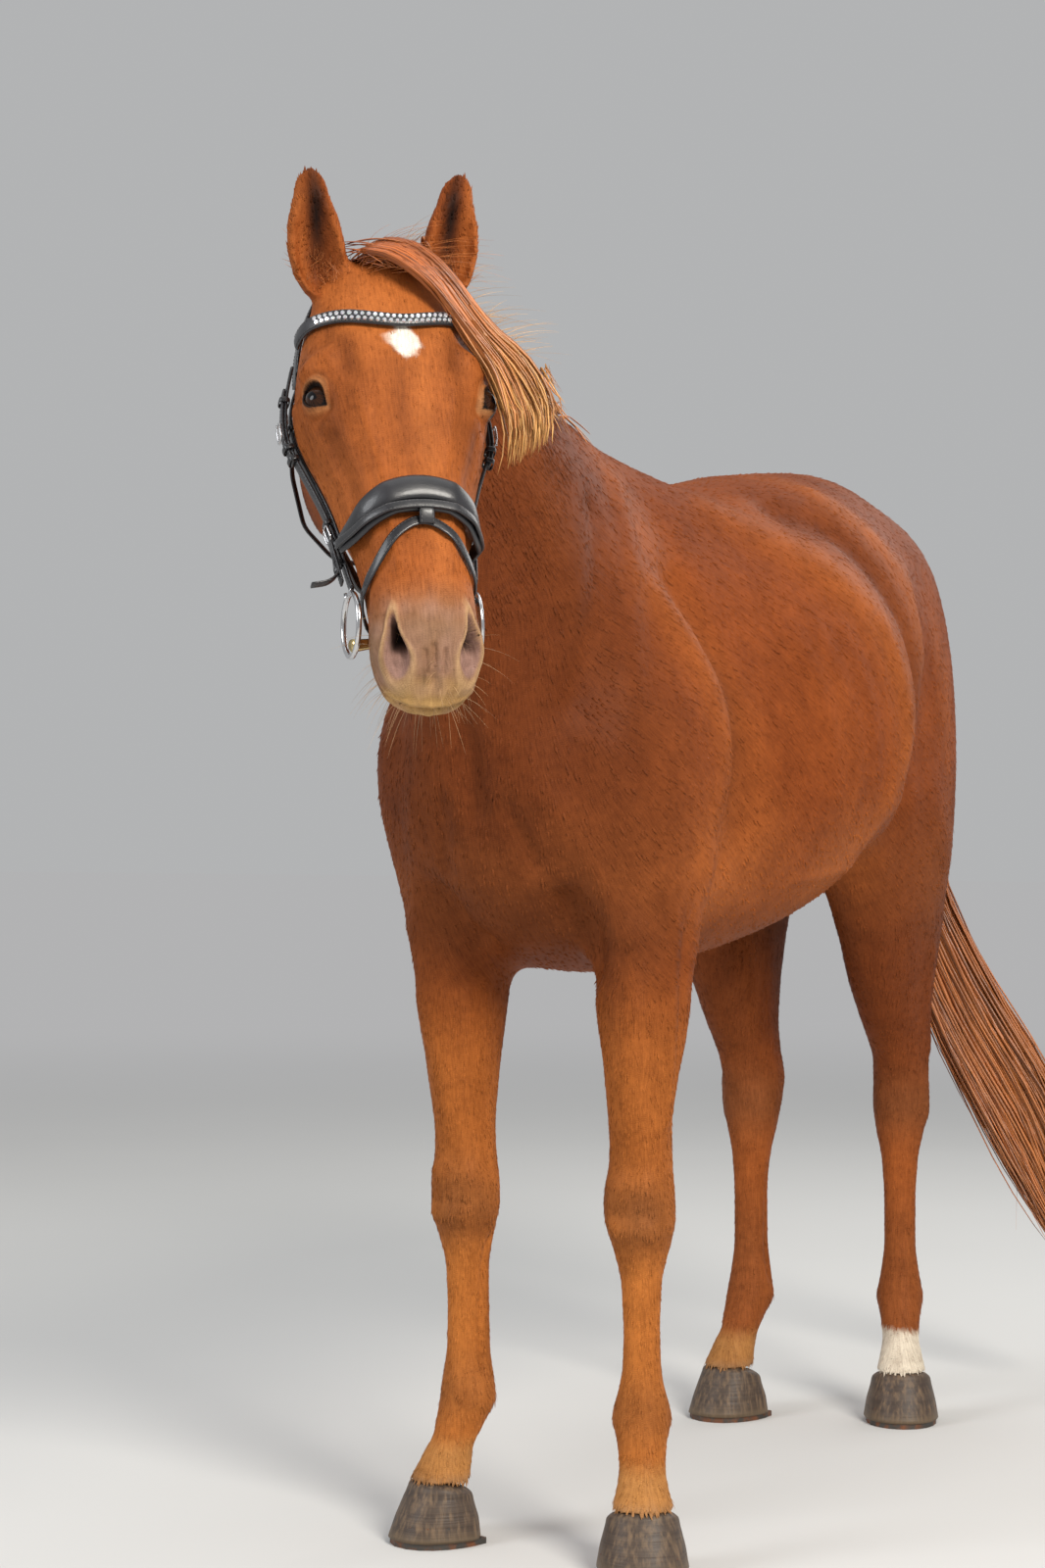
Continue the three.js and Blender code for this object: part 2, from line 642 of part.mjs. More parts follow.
// The tail: the flesh of the dock, and the hair that hangs from it and is blown to the left.
const dockStations = (extra) => [
  { top: [0, 1370, 1500], bottom: [0, 1370, 1500], left: 0 },
  { top: [0, 1405, 1558 + extra], bottom: [0, 1390, 1470 - extra], left: 38 + extra },
  { top: [2, 1482 + extra, 1536], bottom: [2, 1450 - extra, 1462], left: 33 + extra },
  { top: [6, 1540 + extra, 1455], bottom: [6, 1488 - extra, 1430], left: 28 + extra },
  { top: [12, 1556 + extra, 1350], bottom: [12, 1514 - extra, 1345], left: 22 + extra },
  { top: [16, 1545, 1290 - extra], bottom: [16, 1545, 1290 - extra], left: 0 },
];
const dockShape = loft(dockStations(0), 10, 1);
const tailShape = loft([
  [4, 1512, 1520, 0, 0, 0], [8, 1530, 1450, 40, 36, 0], [16, 1552, 1310, 50, 44, 5],
  [18, 1562, 1120, 50, 42, 8], [36, 1556, 930, 55, 40, 14], [126, 1546, 720, 76, 37, 24],
  [246, 1534, 520, 84, 34, 30], [330, 1518, 360, 58, 26, 34], [392, 1504, 236, 0, 0, 36],
].map(([x, y, z, half, thick, slope]) => ({
  top: [x + half * Math.cos(rad(slope)), y, z + half * Math.sin(rad(slope))],
  bottom: [x - half * Math.cos(rad(slope)), y, z - half * Math.sin(rad(slope))],
  left: thick,
  turn: 90,
})), 12, 1).subtract(loft(dockStations(gap), 10, 1));

// ---- Assembly of the flesh ----------------------------------------------------------------
const legs = {};
const feet = {};
for (const [name, out] of sides) {
  legs[`fore_${name}`] = legShape(foreSections, foreStance[name], out, foreBody);
  legs[`hind_${name}`] = legShape(hindSections, hindStance[name], out, hindBody, 12);
  feet[`fore_${name}`] = [foreStance[name], out, 6];
  feet[`hind_${name}`] = [hindStance[name], out, 12];
}

const eyes = Object.fromEntries(sides.map(([name, out]) => {
  const at = onHead(eyeAt.down, eyeAt.deep, out * eyeAt.out);
  return [name, at];
}));
const ball = (center, radius) => egg(center.toArray(), [radius, radius, radius], 9);

let flesh = joined(trunkShape, neckShape, headShape, ...headDetail, chin, ...Object.values(legs));
for (const center of Object.values(eyes)) flesh = flesh.subtract(ball(center, eyeAt.radius + gap));

const meshes = [];
function addMesh(name, solid, finish) {
  const mesh = new THREE.Mesh(geometryOf(solid), new THREE.MeshStandardMaterial(finish));
  mesh.name = name;
  meshes.push(mesh);
}

// Parts the flesh with a thin cut on a plane and gives what lies in front of it and behind it.
function part(solid, point, normal, reach) {
  const away = normal.clone().normalize();
  return {
    front: solid.intersect(beyond(point.clone().addScaledVector(away, gap / 2), away, reach)),
    rest: solid.subtract(beyond(point.clone().addScaledVector(away, -gap / 2), away, reach)),
  };
}

const headCut = onHead(30, 190, 0);
const headCutWay = headAxes.front.clone().multiplyScalar(0.75).addScaledVector(headAxes.down, 0.6);
const headPart = part(flesh, headCut, headCutWay, 340);
const muzzlePart = part(headPart.front, onHead(478, 60, 0), headAxes.down);
addMesh('muzzle', muzzlePart.front, muzzleSkin);
addMesh('head', muzzlePart.rest, coat);

const neckPart = part(headPart.rest, vec(0, -190, 1440), vec(0, -0.86, 0.5));
addMesh('neck', neckPart.front, coat);

// The legs are cut off below the body, each in a block of its own, and divided at their joints.
let body = neckPart.rest;
const cuts = {
  fore: { top: 818, knee: 590, cannon: 430, pastern: 178 },
  hind: { top: 890, knee: 665, cannon: 470, pastern: 180 },
};
for (const [name, out] of sides) {
  for (const [place, levels] of Object.entries(cuts)) {
    const y = place === 'fore' ? [-320, 330] : [760, 1420];
    const inside = (low, high) => block(
      vec(out > 0 ? 1 : -420, y[0], low), vec(out > 0 ? 420 : -1, y[1], high));
    const pieces = [
      [place === 'fore' ? 'forearm' : 'gaskin', levels.top - gap, levels.knee + gap, coat],
      [place === 'fore' ? 'knee' : 'hock', levels.knee, levels.cannon + gap, darkCoat],
      ['cannon', levels.cannon, levels.pastern + gap, coat],
      ['pastern', levels.pastern, 0, place === 'hind' && out > 0 ? whiteCoat : coat],
    ];
    for (const [label, high, low, finish] of pieces) {
      const piece = body.intersect(inside(low, high));
      addMesh(`${label}_${place}_${name}`, piece, finish);
    }
    body = body.subtract(inside(0, levels.top));
  }
}

const front = part(body, vec(0, 268, 1200), vec(0, -1, 0));
const rear = part(front.rest, vec(0, 830, 1200), vec(0, -1, 0.12));
addMesh('forehand', front.front, coat);
addMesh('barrel', rear.front, coat);
addMesh('hindquarters', rear.rest.subtract(loft(dockStations(gap), 10, 1)), coat);

for (const [name, out] of sides) {
  addMesh(`ear_${name}`, earShape(out).subtract(flesh).subtract(flesh.translate([0, 0, gap])), coat);
  addMesh(`eye_${name}`, ball(eyes[name], eyeAt.radius), eyeFinish);
}
for (const [name, foot] of Object.entries(feet)) {
  addMesh(`hoof_${name}`, hoofShape(...foot).subtract(legs[name]), hornFinish);
  addMesh(`shoe_${name}`, shoeShape(...foot), shoeFinish);
}
addMesh('dock', dockShape, coat);
addMesh('tail_hair', tailShape, longHair);
addMesh('mane', maneShape, longHair);
addMesh('forelock', forelockShape, longHair);
addMesh('noseband', noseband, leatherFinish);
addMesh('flash_strap', flash, leatherFinish);
addMesh('browband', browband, leatherFinish);
addMesh('headpiece', headpiece, leatherFinish);
addMesh('throatlash', throatlash, leatherFinish);
for (const [name, out] of sides) {
  addMesh(`cheekpiece_${name}`, cheekStraps[name].cheekpiece, leatherFinish);
  addMesh(`noseband_hanger_${name}`, cheekStraps[name].hanger, leatherFinish);
  addMesh(`bit_${name}`, bitShape(out), steelFinish);
}

// ---- The finished horse, set over its own middle -------------------------------------------
const horse = new THREE.Group();
horse.add(...meshes);
const box = new THREE.Box3().setFromObject(horse);
const middle = box.getCenter(vec());
for (const mesh of meshes) mesh.geometry.translate(-middle.x, -middle.y, -box.min.z);

export default horse;
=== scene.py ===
# A standing, bridled chestnut riding horse at life size, in metres.
# It faces -Y with its left side at +X, on a pale studio floor at z = 0.
import json
import math
import time
import bmesh
import bpy
import numpy as np
from mathutils import Matrix, Vector
from mathutils.bvhtree import BVHTree


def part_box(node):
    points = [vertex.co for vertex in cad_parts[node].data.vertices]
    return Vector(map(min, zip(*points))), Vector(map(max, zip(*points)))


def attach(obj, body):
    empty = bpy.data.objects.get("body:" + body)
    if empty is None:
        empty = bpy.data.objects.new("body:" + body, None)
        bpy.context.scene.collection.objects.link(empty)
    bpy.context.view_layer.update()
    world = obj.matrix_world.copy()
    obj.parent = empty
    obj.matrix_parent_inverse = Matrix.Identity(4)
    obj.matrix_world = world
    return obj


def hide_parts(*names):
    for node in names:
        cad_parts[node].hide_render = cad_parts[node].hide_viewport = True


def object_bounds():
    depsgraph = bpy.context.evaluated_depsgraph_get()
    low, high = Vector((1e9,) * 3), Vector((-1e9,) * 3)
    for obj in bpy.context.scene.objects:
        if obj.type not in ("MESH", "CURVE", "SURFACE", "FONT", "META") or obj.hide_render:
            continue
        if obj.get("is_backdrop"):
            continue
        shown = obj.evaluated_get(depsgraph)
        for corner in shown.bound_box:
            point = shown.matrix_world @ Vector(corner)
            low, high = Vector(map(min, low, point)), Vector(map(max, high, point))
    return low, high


started = time.time()
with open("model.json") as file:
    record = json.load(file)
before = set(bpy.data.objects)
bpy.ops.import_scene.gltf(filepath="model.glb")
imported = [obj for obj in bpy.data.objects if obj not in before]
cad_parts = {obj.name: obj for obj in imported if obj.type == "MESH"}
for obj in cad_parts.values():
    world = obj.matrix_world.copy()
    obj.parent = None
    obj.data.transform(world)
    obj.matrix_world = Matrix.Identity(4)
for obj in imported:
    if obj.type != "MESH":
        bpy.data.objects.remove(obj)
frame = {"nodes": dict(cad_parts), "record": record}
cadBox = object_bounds()
rng = np.random.default_rng(11)


def report(text):
    print(f"[{time.time() - started:6.1f} s] {text}", flush=True)


report("frame loaded")

# The horse is laid out from a point on the floor midway between its fore legs; the solids
# are centred on their box, so everything moves by this much.
barrelBox = np.array([list(corner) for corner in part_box("barrel")])
shift = np.array([barrelBox[:, 0].mean(), barrelBox[0, 1] - 0.26815, 0.0])


def unit(v):
    v = np.asarray(v, float)
    return v / np.maximum(np.linalg.norm(v, axis=-1, keepdims=True), 1e-12)


def smoothStep(low, high, x):
    t = np.clip((np.asarray(x, float) - low) / (high - low), 0, 1)
    return t * t * (3 - 2 * t)


def bell(x):
    return np.exp(-np.asarray(x, float) ** 2)


def mix(a, b, t):
    return a + (b - a) * t


def colour(red, green, blue):  # from 0-255 display values
    s = np.array([red, green, blue]) / 255
    return np.where(s < 0.04045, s / 12.92, ((s + 0.055) / 1.055) ** 2.4)


# ---- Where things are -------------------------------------------------------------------
headPose = {"poll": (0.065, -0.562, 1.784), "turn": 41, "pitch": 28, "roll": 1}
eyePlace = {"down": 0.196, "drop": 0.007, "deep": 0.046, "out": 0.097, "lean": {1: 0.007, -1: 0.003},
            "radius": 0.024}
legStance = {
    "fore_left": {"x": 0.166, "y": 0.004, "turn": 26, "bodyX": 0.154, "bodyY": 0.014},
    "fore_right": {"x": 0.137, "y": 0.044, "turn": 32, "bodyX": 0.154, "bodyY": 0.014},
    "hind_left": {"x": 0.127, "y": 1.200, "turn": 22, "bodyX": 0.125, "bodyY": 1.144},
    "hind_right": {"x": 0.125, "y": 1.112, "turn": 20, "bodyX": 0.125, "bodyY": 1.144},
}
turnBy, pitchBy, rollBy = (math.radians(headPose[k]) for k in ("turn", "pitch", "roll"))
poll = np.array(headPose["poll"]) + shift
noseWay = np.array([math.sin(turnBy), -math.cos(turnBy), 0])
plainLeft = np.array([math.cos(turnBy), math.sin(turnBy), 0])
plainDown = noseWay * math.sin(pitchBy) - np.array([0, 0, math.cos(pitchBy)])
headFront = noseWay * math.cos(pitchBy) + np.array([0, 0, math.sin(pitchBy)])
headDown = plainDown * math.cos(rollBy) + plainLeft * math.sin(rollBy)
headLeft = plainLeft * math.cos(rollBy) - plainDown * math.sin(rollBy)
neckBase = np.array([0, 0.02, 1.28]) + shift
neckWay = unit(poll - neckBase)


def onHead(down, deep, out):
    down, deep, out = (np.asarray(v, float)[..., None] for v in (down, deep, out))
    return poll + headDown * down - headFront * deep + headLeft * out


def headPlaceOf(points):  # down the face, deep behind it, out to the left
    d = points - poll
    return d @ headDown, -(d @ headFront), d @ headLeft


def legFrame(leg, z):  # centre, the way back and the way out of the leg at a height
    s = legStance[leg]
    side = 1 if leg.endswith("left") else -1
    z = np.asarray(z, float)
    down = smoothStep(1.150, 0.620, z)
    highTurn, lowTurn = (0.560, 0.330) if leg.startswith("fore") else (0.760, 0.420)
    turn = np.radians(s["turn"] * smoothStep(highTurn, lowTurn, z))
    flat = np.zeros_like(z)
    centre = np.stack([side * mix(s["bodyX"], s["x"], down) + shift[0],
                       mix(s["bodyY"], s["y"], down) + shift[1], z], -1)
    back = np.stack([-side * np.sin(turn), np.cos(turn), flat], -1)
    out = np.stack([side * np.cos(turn), np.sin(turn), flat], -1)
    return centre, back, out


def onLeg(leg, z, back, out):
    centre, backWay, outWay = legFrame(leg, z)
    return centre + backWay * np.asarray(back)[..., None] + outWay * np.asarray(out)[..., None]


def legPlaceOf(leg, points):
    centre, backWay, outWay = legFrame(leg, points[:, 2])
    d = points - centre
    return (d * backWay).sum(1), (d * outWay).sum(1)


# ---- Camera, light and floor --------------------------------------------------------------
scene = bpy.context.scene
view = {"place": (1.960, -3.9416, 1.064), "azimuth": 26.7, "lens": 69.75, "rise": 0.0219}
lamps = [  # place, aim, size, strength, tint
    ((4.6, -3.4, 4.6), (0, -0.2, 1.1), 2.4, 420, (1.0, 0.95, 0.87)),
    ((-3.2, -4.6, 3.4), (0, -0.4, 1.2), 2.6, 120, (0.95, 0.97, 1.0)),
    ((1.0, 4.5, 3.6), (0, 0.3, 1.3), 3.0, 60, (1.0, 0.98, 0.95)),
    ((0.0, 0.0, 5.2), (0, 0, 0), 4.5, 50, (1.0, 1.0, 1.0)),
]
camera = bpy.data.objects.new("camera", bpy.data.cameras.new("camera"))
scene.collection.objects.link(camera)
aimBy = math.radians(view["azimuth"])
camera.location = np.array(view["place"]) + shift
camera.rotation_euler = Vector((-math.sin(aimBy), math.cos(aimBy), 0)).to_track_quat("-Z", "Y").to_euler()
camera.data.lens = view["lens"]
camera.data.sensor_width = 36
camera.data.shift_y = view["rise"]
camera.data.clip_end = 150
scene.camera = camera
for i, (place, aim, size, strength, tint) in enumerate(lamps):
    lamp = bpy.data.lights.new(f"softbox {i}", "AREA")
    lamp.shape, lamp.size, lamp.energy, lamp.color = "DISK", size, strength, tint
    lampObject = bpy.data.objects.new(lamp.name, lamp)
    lampObject.location = place
    lampObject.rotation_euler = (Vector(aim) - Vector(place)).to_track_quat("-Z", "Y").to_euler()
    scene.collection.objects.link(lampObject)
scene.world = bpy.data.worlds.new("studio")
scene.world.use_nodes = True
scene.world.node_tree.nodes["Background"].inputs["Color"].default_value = (0.86, 0.87, 0.88, 1)
scene.world.node_tree.nodes["Background"].inputs["Strength"].default_value = 0.52
scene.view_settings.view_transform = "Standard"


# ---- Node graphs ------------------------------------------------------------------------
def plug(tree, value, socket):
    if isinstance(value, Wire):
        tree.links.new(value.socket, socket)
    elif socket.type == "RGBA" and len(value) == 3:
        socket.default_value = (*value, 1)
    else:
        socket.default_value = value


class Wire:  # one value in a node graph; sums on it add Math nodes
    def __init__(self, tree, socket):
        self.tree = tree
        self.socket = socket

    def maths(self, operation, other):
        node = self.tree.nodes.new("ShaderNodeMath")
        node.operation = operation
        for value, socket in zip((self, other), node.inputs):
            plug(self.tree, value, socket)
        return Wire(self.tree, node.outputs[0])

    def other(self, name):
        return Wire(self.tree, self.socket.node.outputs[name])

    def __add__(self, value):
        return self.maths("ADD", value)

    def __sub__(self, value):
        return self.maths("SUBTRACT", value)

    def __mul__(self, value):
        return self.maths("MULTIPLY", value)

    def __rsub__(self, value):
        return (self * -1.0) + value

    def ramp(self, low, high):  # 0 below low to 1 above high
        node = self.tree.nodes.new("ShaderNodeMapRange")
        node.interpolation_type = "SMOOTHSTEP"
        for value, socket in zip((self, low, high), node.inputs):
            plug(self.tree, value, socket)
        return Wire(self.tree, node.outputs[0])

    __radd__ = __add__


class Graph:  # builds one node tree
    def __init__(self, tree):
        self.tree = tree
        tree.nodes.clear()

    def add(self, kind, settings=None, inputs=None, output=0):
        node = self.tree.nodes.new(kind)
        for key, value in (settings or {}).items():
            setattr(node, key, value)
        for key, value in (inputs or {}).items():
            plug(self.tree, value, node.inputs[key])
        return Wire(self.tree, node.outputs[output]) if len(node.outputs) else node

    def blend(self, amount, a, b, way="MIX"):
        return self.add("ShaderNodeMix", {"data_type": "RGBA", "blend_type": way},
                        {0: amount, 6: a, 7: b}, 2)

    def attribute(self, name, output="Fac"):
        return self.add("ShaderNodeAttribute", {"attribute_name": name}, output=output)

    def vector(self, operation, *values):
        output = "Value" if operation == "LENGTH" else 0
        return self.add("ShaderNodeVectorMath", {"operation": operation}, dict(enumerate(values)), output)

    def scaled(self, value, by):
        return self.add("ShaderNodeVectorMath", {"operation": "SCALE"}, {0: value, "Scale": by})

    def named(self, label, kind="FLOAT_VECTOR"):  # an attribute, in a geometry graph
        return self.add("GeometryNodeInputNamedAttribute", {"data_type": kind}, {"Name": label})

    def noise(self, where, scale, detail=2.0):
        inputs = {"Vector": where, "Scale": scale, "Detail": detail}
        return self.add("ShaderNodeTexNoise", None, inputs, "Fac")

    def bump(self, height, distance, strength=1.0, below=None):
        inputs = {"Height": height, "Distance": distance, "Strength": strength}
        if below is not None:
            inputs["Normal"] = below
        return self.add("ShaderNodeBump", None, inputs, "Normal")


def material(name, build, **values):  # build(graph, place) gives the varying inputs
    made = bpy.data.materials.new(name)
    made.use_nodes = True
    graph = Graph(made.node_tree)
    place = graph.add("ShaderNodeTexCoord", output="Object")
    inputs = {key.replace("_", " "): value for key, value in {**values, **build(graph, place)}.items()}
    shader = graph.add("ShaderNodeBsdfPrincipled", None, inputs)
    graph.add("ShaderNodeOutputMaterial", None, {"Surface": shader})
    return made


def smeared(graph, place, way, scale, reach, steps=5):  # noise drawn out along a way
    total = None
    for k in range(steps):
        there = graph.vector("ADD", place, graph.scaled(way, (k / (steps - 1) - 0.5) * reach))
        value = graph.noise(there, scale, 1.0)
        total = value if total is None else total + value
    return total * (1 / steps)


def coatLook(graph, place):
    lie = graph.attribute("lie", "Vector")
    tone = graph.attribute("coatTone", "Color")
    naked = graph.attribute("naked")
    fine = smeared(graph, place, lie, 420.0, 0.012)
    broad = smeared(graph, place, lie, 90.0, 0.05, 4)
    patch = graph.noise(place, 7.0, 3.0)
    blotch = graph.noise(place, 28.0, 3.0)
    light = (fine - 0.5) * 1.6 + (broad - 0.5) * 0.55 + (patch - 0.5) * 0.50 + (blotch - 0.5) * 0.35
    wet = graph.blend((light + 0.5).ramp(0.0, 1.0), (0.62, 0.56, 0.52), (1.42, 1.42, 1.38))
    base = graph.blend(1.0, tone, wet, "MULTIPLY")
    coatBump = graph.bump(fine * (1.0 - naked), 0.0012, 0.55)
    coatBump = graph.bump(broad * (1.0 - naked), 0.004, 0.30, coatBump)
    pores = graph.noise(place, 900.0, 2.0)
    skinBump = graph.bump(pores * naked, 0.0006, 0.5, coatBump)
    return {"Base Color": base, "Normal": skinBump,
            "Roughness": 0.57 - naked * 0.12 + (fine - 0.5) * 0.25}


def hairLook(graph, place):
    tone = graph.attribute("coatTone", "Color")
    strand = graph.attribute("strand", "Vector")
    fine = graph.noise(graph.vector("MULTIPLY", strand, (1.0, 0.045, 1.0)), 260.0, 2.0)
    lift = graph.blend(fine.ramp(0.3, 0.7), (0.55, 0.50, 0.46), (1.35, 1.35, 1.32))
    return {"Base Color": graph.blend(1.0, tone, lift, "MULTIPLY"),
            "Normal": graph.bump(fine, 0.0015, 0.6),
            "Roughness": 0.42 + (fine - 0.5) * 0.3}


def leatherLook(graph, place):
    grain = graph.add("ShaderNodeTexVoronoi", None, {"Vector": place, "Scale": 900.0}, "Distance")
    wear = graph.noise(place, 22.0, 3.0)
    return {"Base Color": graph.blend(wear.ramp(0.35, 0.75), (0.008, 0.008, 0.010), (0.022, 0.021, 0.025)),
            "Normal": graph.bump(grain, 0.0005, 0.35),
            "Roughness": 0.24 + wear * 0.25}


def hornLook(graph, place):
    height = graph.add("ShaderNodeSeparateXYZ", None, {0: place}, "Z")
    rings = graph.noise(graph.vector("MULTIPLY", place, (3.0, 3.0, 170.0)), 1.0, 2.0)
    streaks = graph.noise(graph.vector("MULTIPLY", place, (170.0, 170.0, 9.0)), 1.0, 2.0)
    base = graph.blend(streaks.ramp(0.38, 0.78), colour(66, 54, 46), colour(118, 96, 74))
    base = graph.blend(rings.ramp(0.35, 0.65) * 0.35, base, colour(96, 80, 66))
    base = graph.blend(height.ramp(0.03, 0.0), base, colour(110, 92, 70))
    bumps = graph.bump(rings, 0.0025, 0.5)
    return {"Base Color": base, "Normal": graph.bump(streaks, 0.0008, 0.4, bumps),
            "Roughness": 0.42 + streaks * 0.2}


def ironLook(graph, place):
    rust = graph.noise(place, 60.0, 4.0)
    return {"Base Color": graph.blend(rust.ramp(0.4, 0.65), colour(96, 92, 88), colour(120, 74, 46)),
            "Normal": graph.bump(rust, 0.001, 0.5),
            "Roughness": 0.4 + rust * 0.4,
            "Metallic": 1.0 - rust.ramp(0.4, 0.65) * 0.8}


def steelLook(graph, place):
    smear = graph.noise(place, 120.0, 2.0)
    return {"Roughness": 0.12 + smear * 0.16}


def eyeLook(graph, place):
    # x and y of the attribute lie across the eye, along and across the slit; z looks out
    spot = graph.attribute("gaze", "Vector")
    flat = graph.vector("MULTIPLY", spot, (1.0, 1.0, 0.0))
    around = graph.vector("LENGTH", flat)
    slit = graph.vector("LENGTH", graph.vector("MULTIPLY", spot, (0.62, 1.25, 0.0)))
    fibres = graph.noise(graph.vector("NORMALIZE", flat), 9.0, 3.0)
    iris = graph.blend(fibres.ramp(0.35, 0.7), colour(30, 16, 9), colour(62, 34, 17))
    base = graph.blend(slit.ramp(0.30, 0.38), colour(6, 6, 10), iris)
    base = graph.blend(around.ramp(0.90, 1.02), base, colour(16, 11, 10))
    base = graph.blend(around.ramp(1.10, 1.24), base, colour(84, 66, 58))
    return {"Base Color": base}


def gemLook(graph, place):
    glint = graph.add("ShaderNodeTexVoronoi", None, {"Vector": place, "Scale": 700.0}, "Color")
    return {"Base Color": graph.blend(0.18, (0.95, 0.96, 1.0), glint),
            "Roughness": graph.noise(place, 300.0) * 0.1 + 0.02}


def stitchLook(graph, place):
    return {"Base Color": graph.blend(graph.noise(place, 400.0), (0.05, 0.05, 0.055), (0.16, 0.155, 0.15))}


def floorLook(graph, place):
    soft = graph.noise(place, 0.8, 3.0)
    away = graph.vector("LENGTH", place).ramp(3.5, 11.0)
    near = graph.blend(soft, (0.64, 0.64, 0.63), (0.68, 0.68, 0.67))
    return {"Base Color": graph.blend(away, near, (0.0, 0.0, 0.0)), "Roughness": 0.6 + soft * 0.2,
            "Emission Color": graph.blend(away, (0.0, 0.0, 0.0), (0.447, 0.447, 0.452))}


looks = {
    "coat": material("coat", coatLook, Specular_IOR_Level=0.07),
    "hair": material("long hair", hairLook, Specular_IOR_Level=0.45, Coat_Weight=0.15, Coat_Roughness=0.3),
    "leather": material("bridle leather", leatherLook, Coat_Weight=0.25, Coat_Roughness=0.15),
    "horn": material("hoof horn", hornLook, Specular_IOR_Level=0.4),
    "iron": material("shoe iron", ironLook),
    "steel": material("bit steel", steelLook, Base_Color=(0.62, 0.62, 0.63), Metallic=1.0),
    "brass": material("brass mouthpiece", steelLook, Base_Color=(0.72, 0.56, 0.26), Metallic=1.0),
    "eye": material("eye", eyeLook, Roughness=0.08, Specular_IOR_Level=0.15, Coat_Weight=0.22,
                    Coat_Roughness=0.02),
    "gem": material("browband crystal", gemLook, Metallic=0.75, Coat_Weight=0.6, Coat_Roughness=0.02),
    "stitch": material("stitching", stitchLook, Roughness=0.7),
    "floor": material("studio floor", floorLook, Emission_Strength=1.0, Specular_IOR_Level=0.0),
}

floorMesh = bpy.data.meshes.new("floor")
floorMesh.from_pydata([(-45, -45, 0), (45, -45, 0), (45, 45, 0), (-45, 45, 0)], [], [(0, 1, 2, 3)])
floor = bpy.data.objects.new("studio floor", floorMesh)
floorMesh.materials.append(looks["floor"])
scene.collection.objects.link(floor)
floor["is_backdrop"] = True


# ---- Mesh helpers -----------------------------------------------------------------------
def meshArrays(mesh):
    mesh.calc_loop_triangles()
    points = np.empty(len(mesh.vertices) * 3)
    mesh.vertices.foreach_get("co", points)
    triangles = np.empty(len(mesh.loop_triangles) * 3, np.int32)
    mesh.loop_triangles.foreach_get("vertices", triangles)
    return points.reshape(-1, 3), triangles.reshape(-1, 3)


def newMesh(name, points, faces):
    mesh = bpy.data.meshes.new(name)
    mesh.from_pydata(np.asarray(points).tolist(), [], faces.tolist() if hasattr(faces, "tolist") else faces)
    mesh.update()
    return mesh


def newPiece(name, mesh, look=None, slot=None, replaces=(), smooth=True):
    piece = bpy.data.objects.new(name.replace(" ", "_"), mesh)
    scene.collection.objects.link(piece)
    if look is not None:
        mesh.materials.clear()
        mesh.materials.append(looks[look])
    mesh.polygons.foreach_set("use_smooth", np.full(len(mesh.polygons), smooth))
    if slot is not None:
        if replaces:
            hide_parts(*replaces)
        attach(piece, "root")
    return piece


def setAttribute(mesh, name, kind, values, domain="POINT"):
    attribute = mesh.attributes.get(name) or mesh.attributes.new(name, kind, domain)
    key = {"FLOAT_VECTOR": "vector", "FLOAT_COLOR": "color"}.get(kind, "value")
    if kind == "FLOAT_COLOR":
        values = np.concatenate([values, np.ones((len(values), 1))], 1)
    attribute.data.foreach_set(key, np.asarray(values, bool if kind == "BOOLEAN" else float).ravel())


def cornersOf(mesh):  # the vertex at each corner of the faces
    corners = np.empty(len(mesh.loops), np.int32)
    mesh.loops.foreach_get("vertex_index", corners)
    return corners


def drawn(name, settings, make, *turns):  # a mesh from one of bmesh's own shapes
    bm = bmesh.new()
    make(bm, **settings)
    for turn in turns:
        bmesh.ops.rotate(bm, verts=bm.verts, cent=(0, 0, 0), matrix=turn)
    mesh = bpy.data.meshes.new(name)
    bm.to_mesh(mesh)
    bm.free()
    return mesh


def runOf(path):  # how far along a path each of its stations lies
    return np.concatenate([[0], np.cumsum(np.linalg.norm(np.diff(path, axis=0), axis=1))])


def sampled(values, run, t):
    return np.stack([np.interp(t, run, values[:, k]) for k in range(3)], -1)


def awayFrom(spots, path):  # how far each spot lies from a path
    away = np.linalg.norm(spots - path[0], axis=1)
    for a, b in zip(path[:-1], path[1:]):
        t = np.clip((spots - a) @ (b - a) / max((b - a) @ (b - a), 1e-12), 0, 1)[:, None]
        away = np.minimum(away, np.linalg.norm(spots - a - t * (b - a), axis=1))
    return away


def normalsOf(points, triangles):
    a, b, c = (points[triangles[:, k]] for k in range(3))
    flat = np.cross(b - a, c - a)
    total = np.stack([np.bincount(triangles.ravel(), np.repeat(flat[:, k], 3), len(points))
                      for k in range(3)], -1)
    return unit(total)


def treeOf(points, triangles):
    return BVHTree.FromPolygons(points.tolist(), triangles.tolist())


def settled(base, modifier):  # the mesh a modifier makes, with the modifier taken off
    made = bpy.data.meshes.new_from_object(base.evaluated_get(bpy.context.evaluated_depsgraph_get()))
    base.modifiers.remove(modifier)
    return made


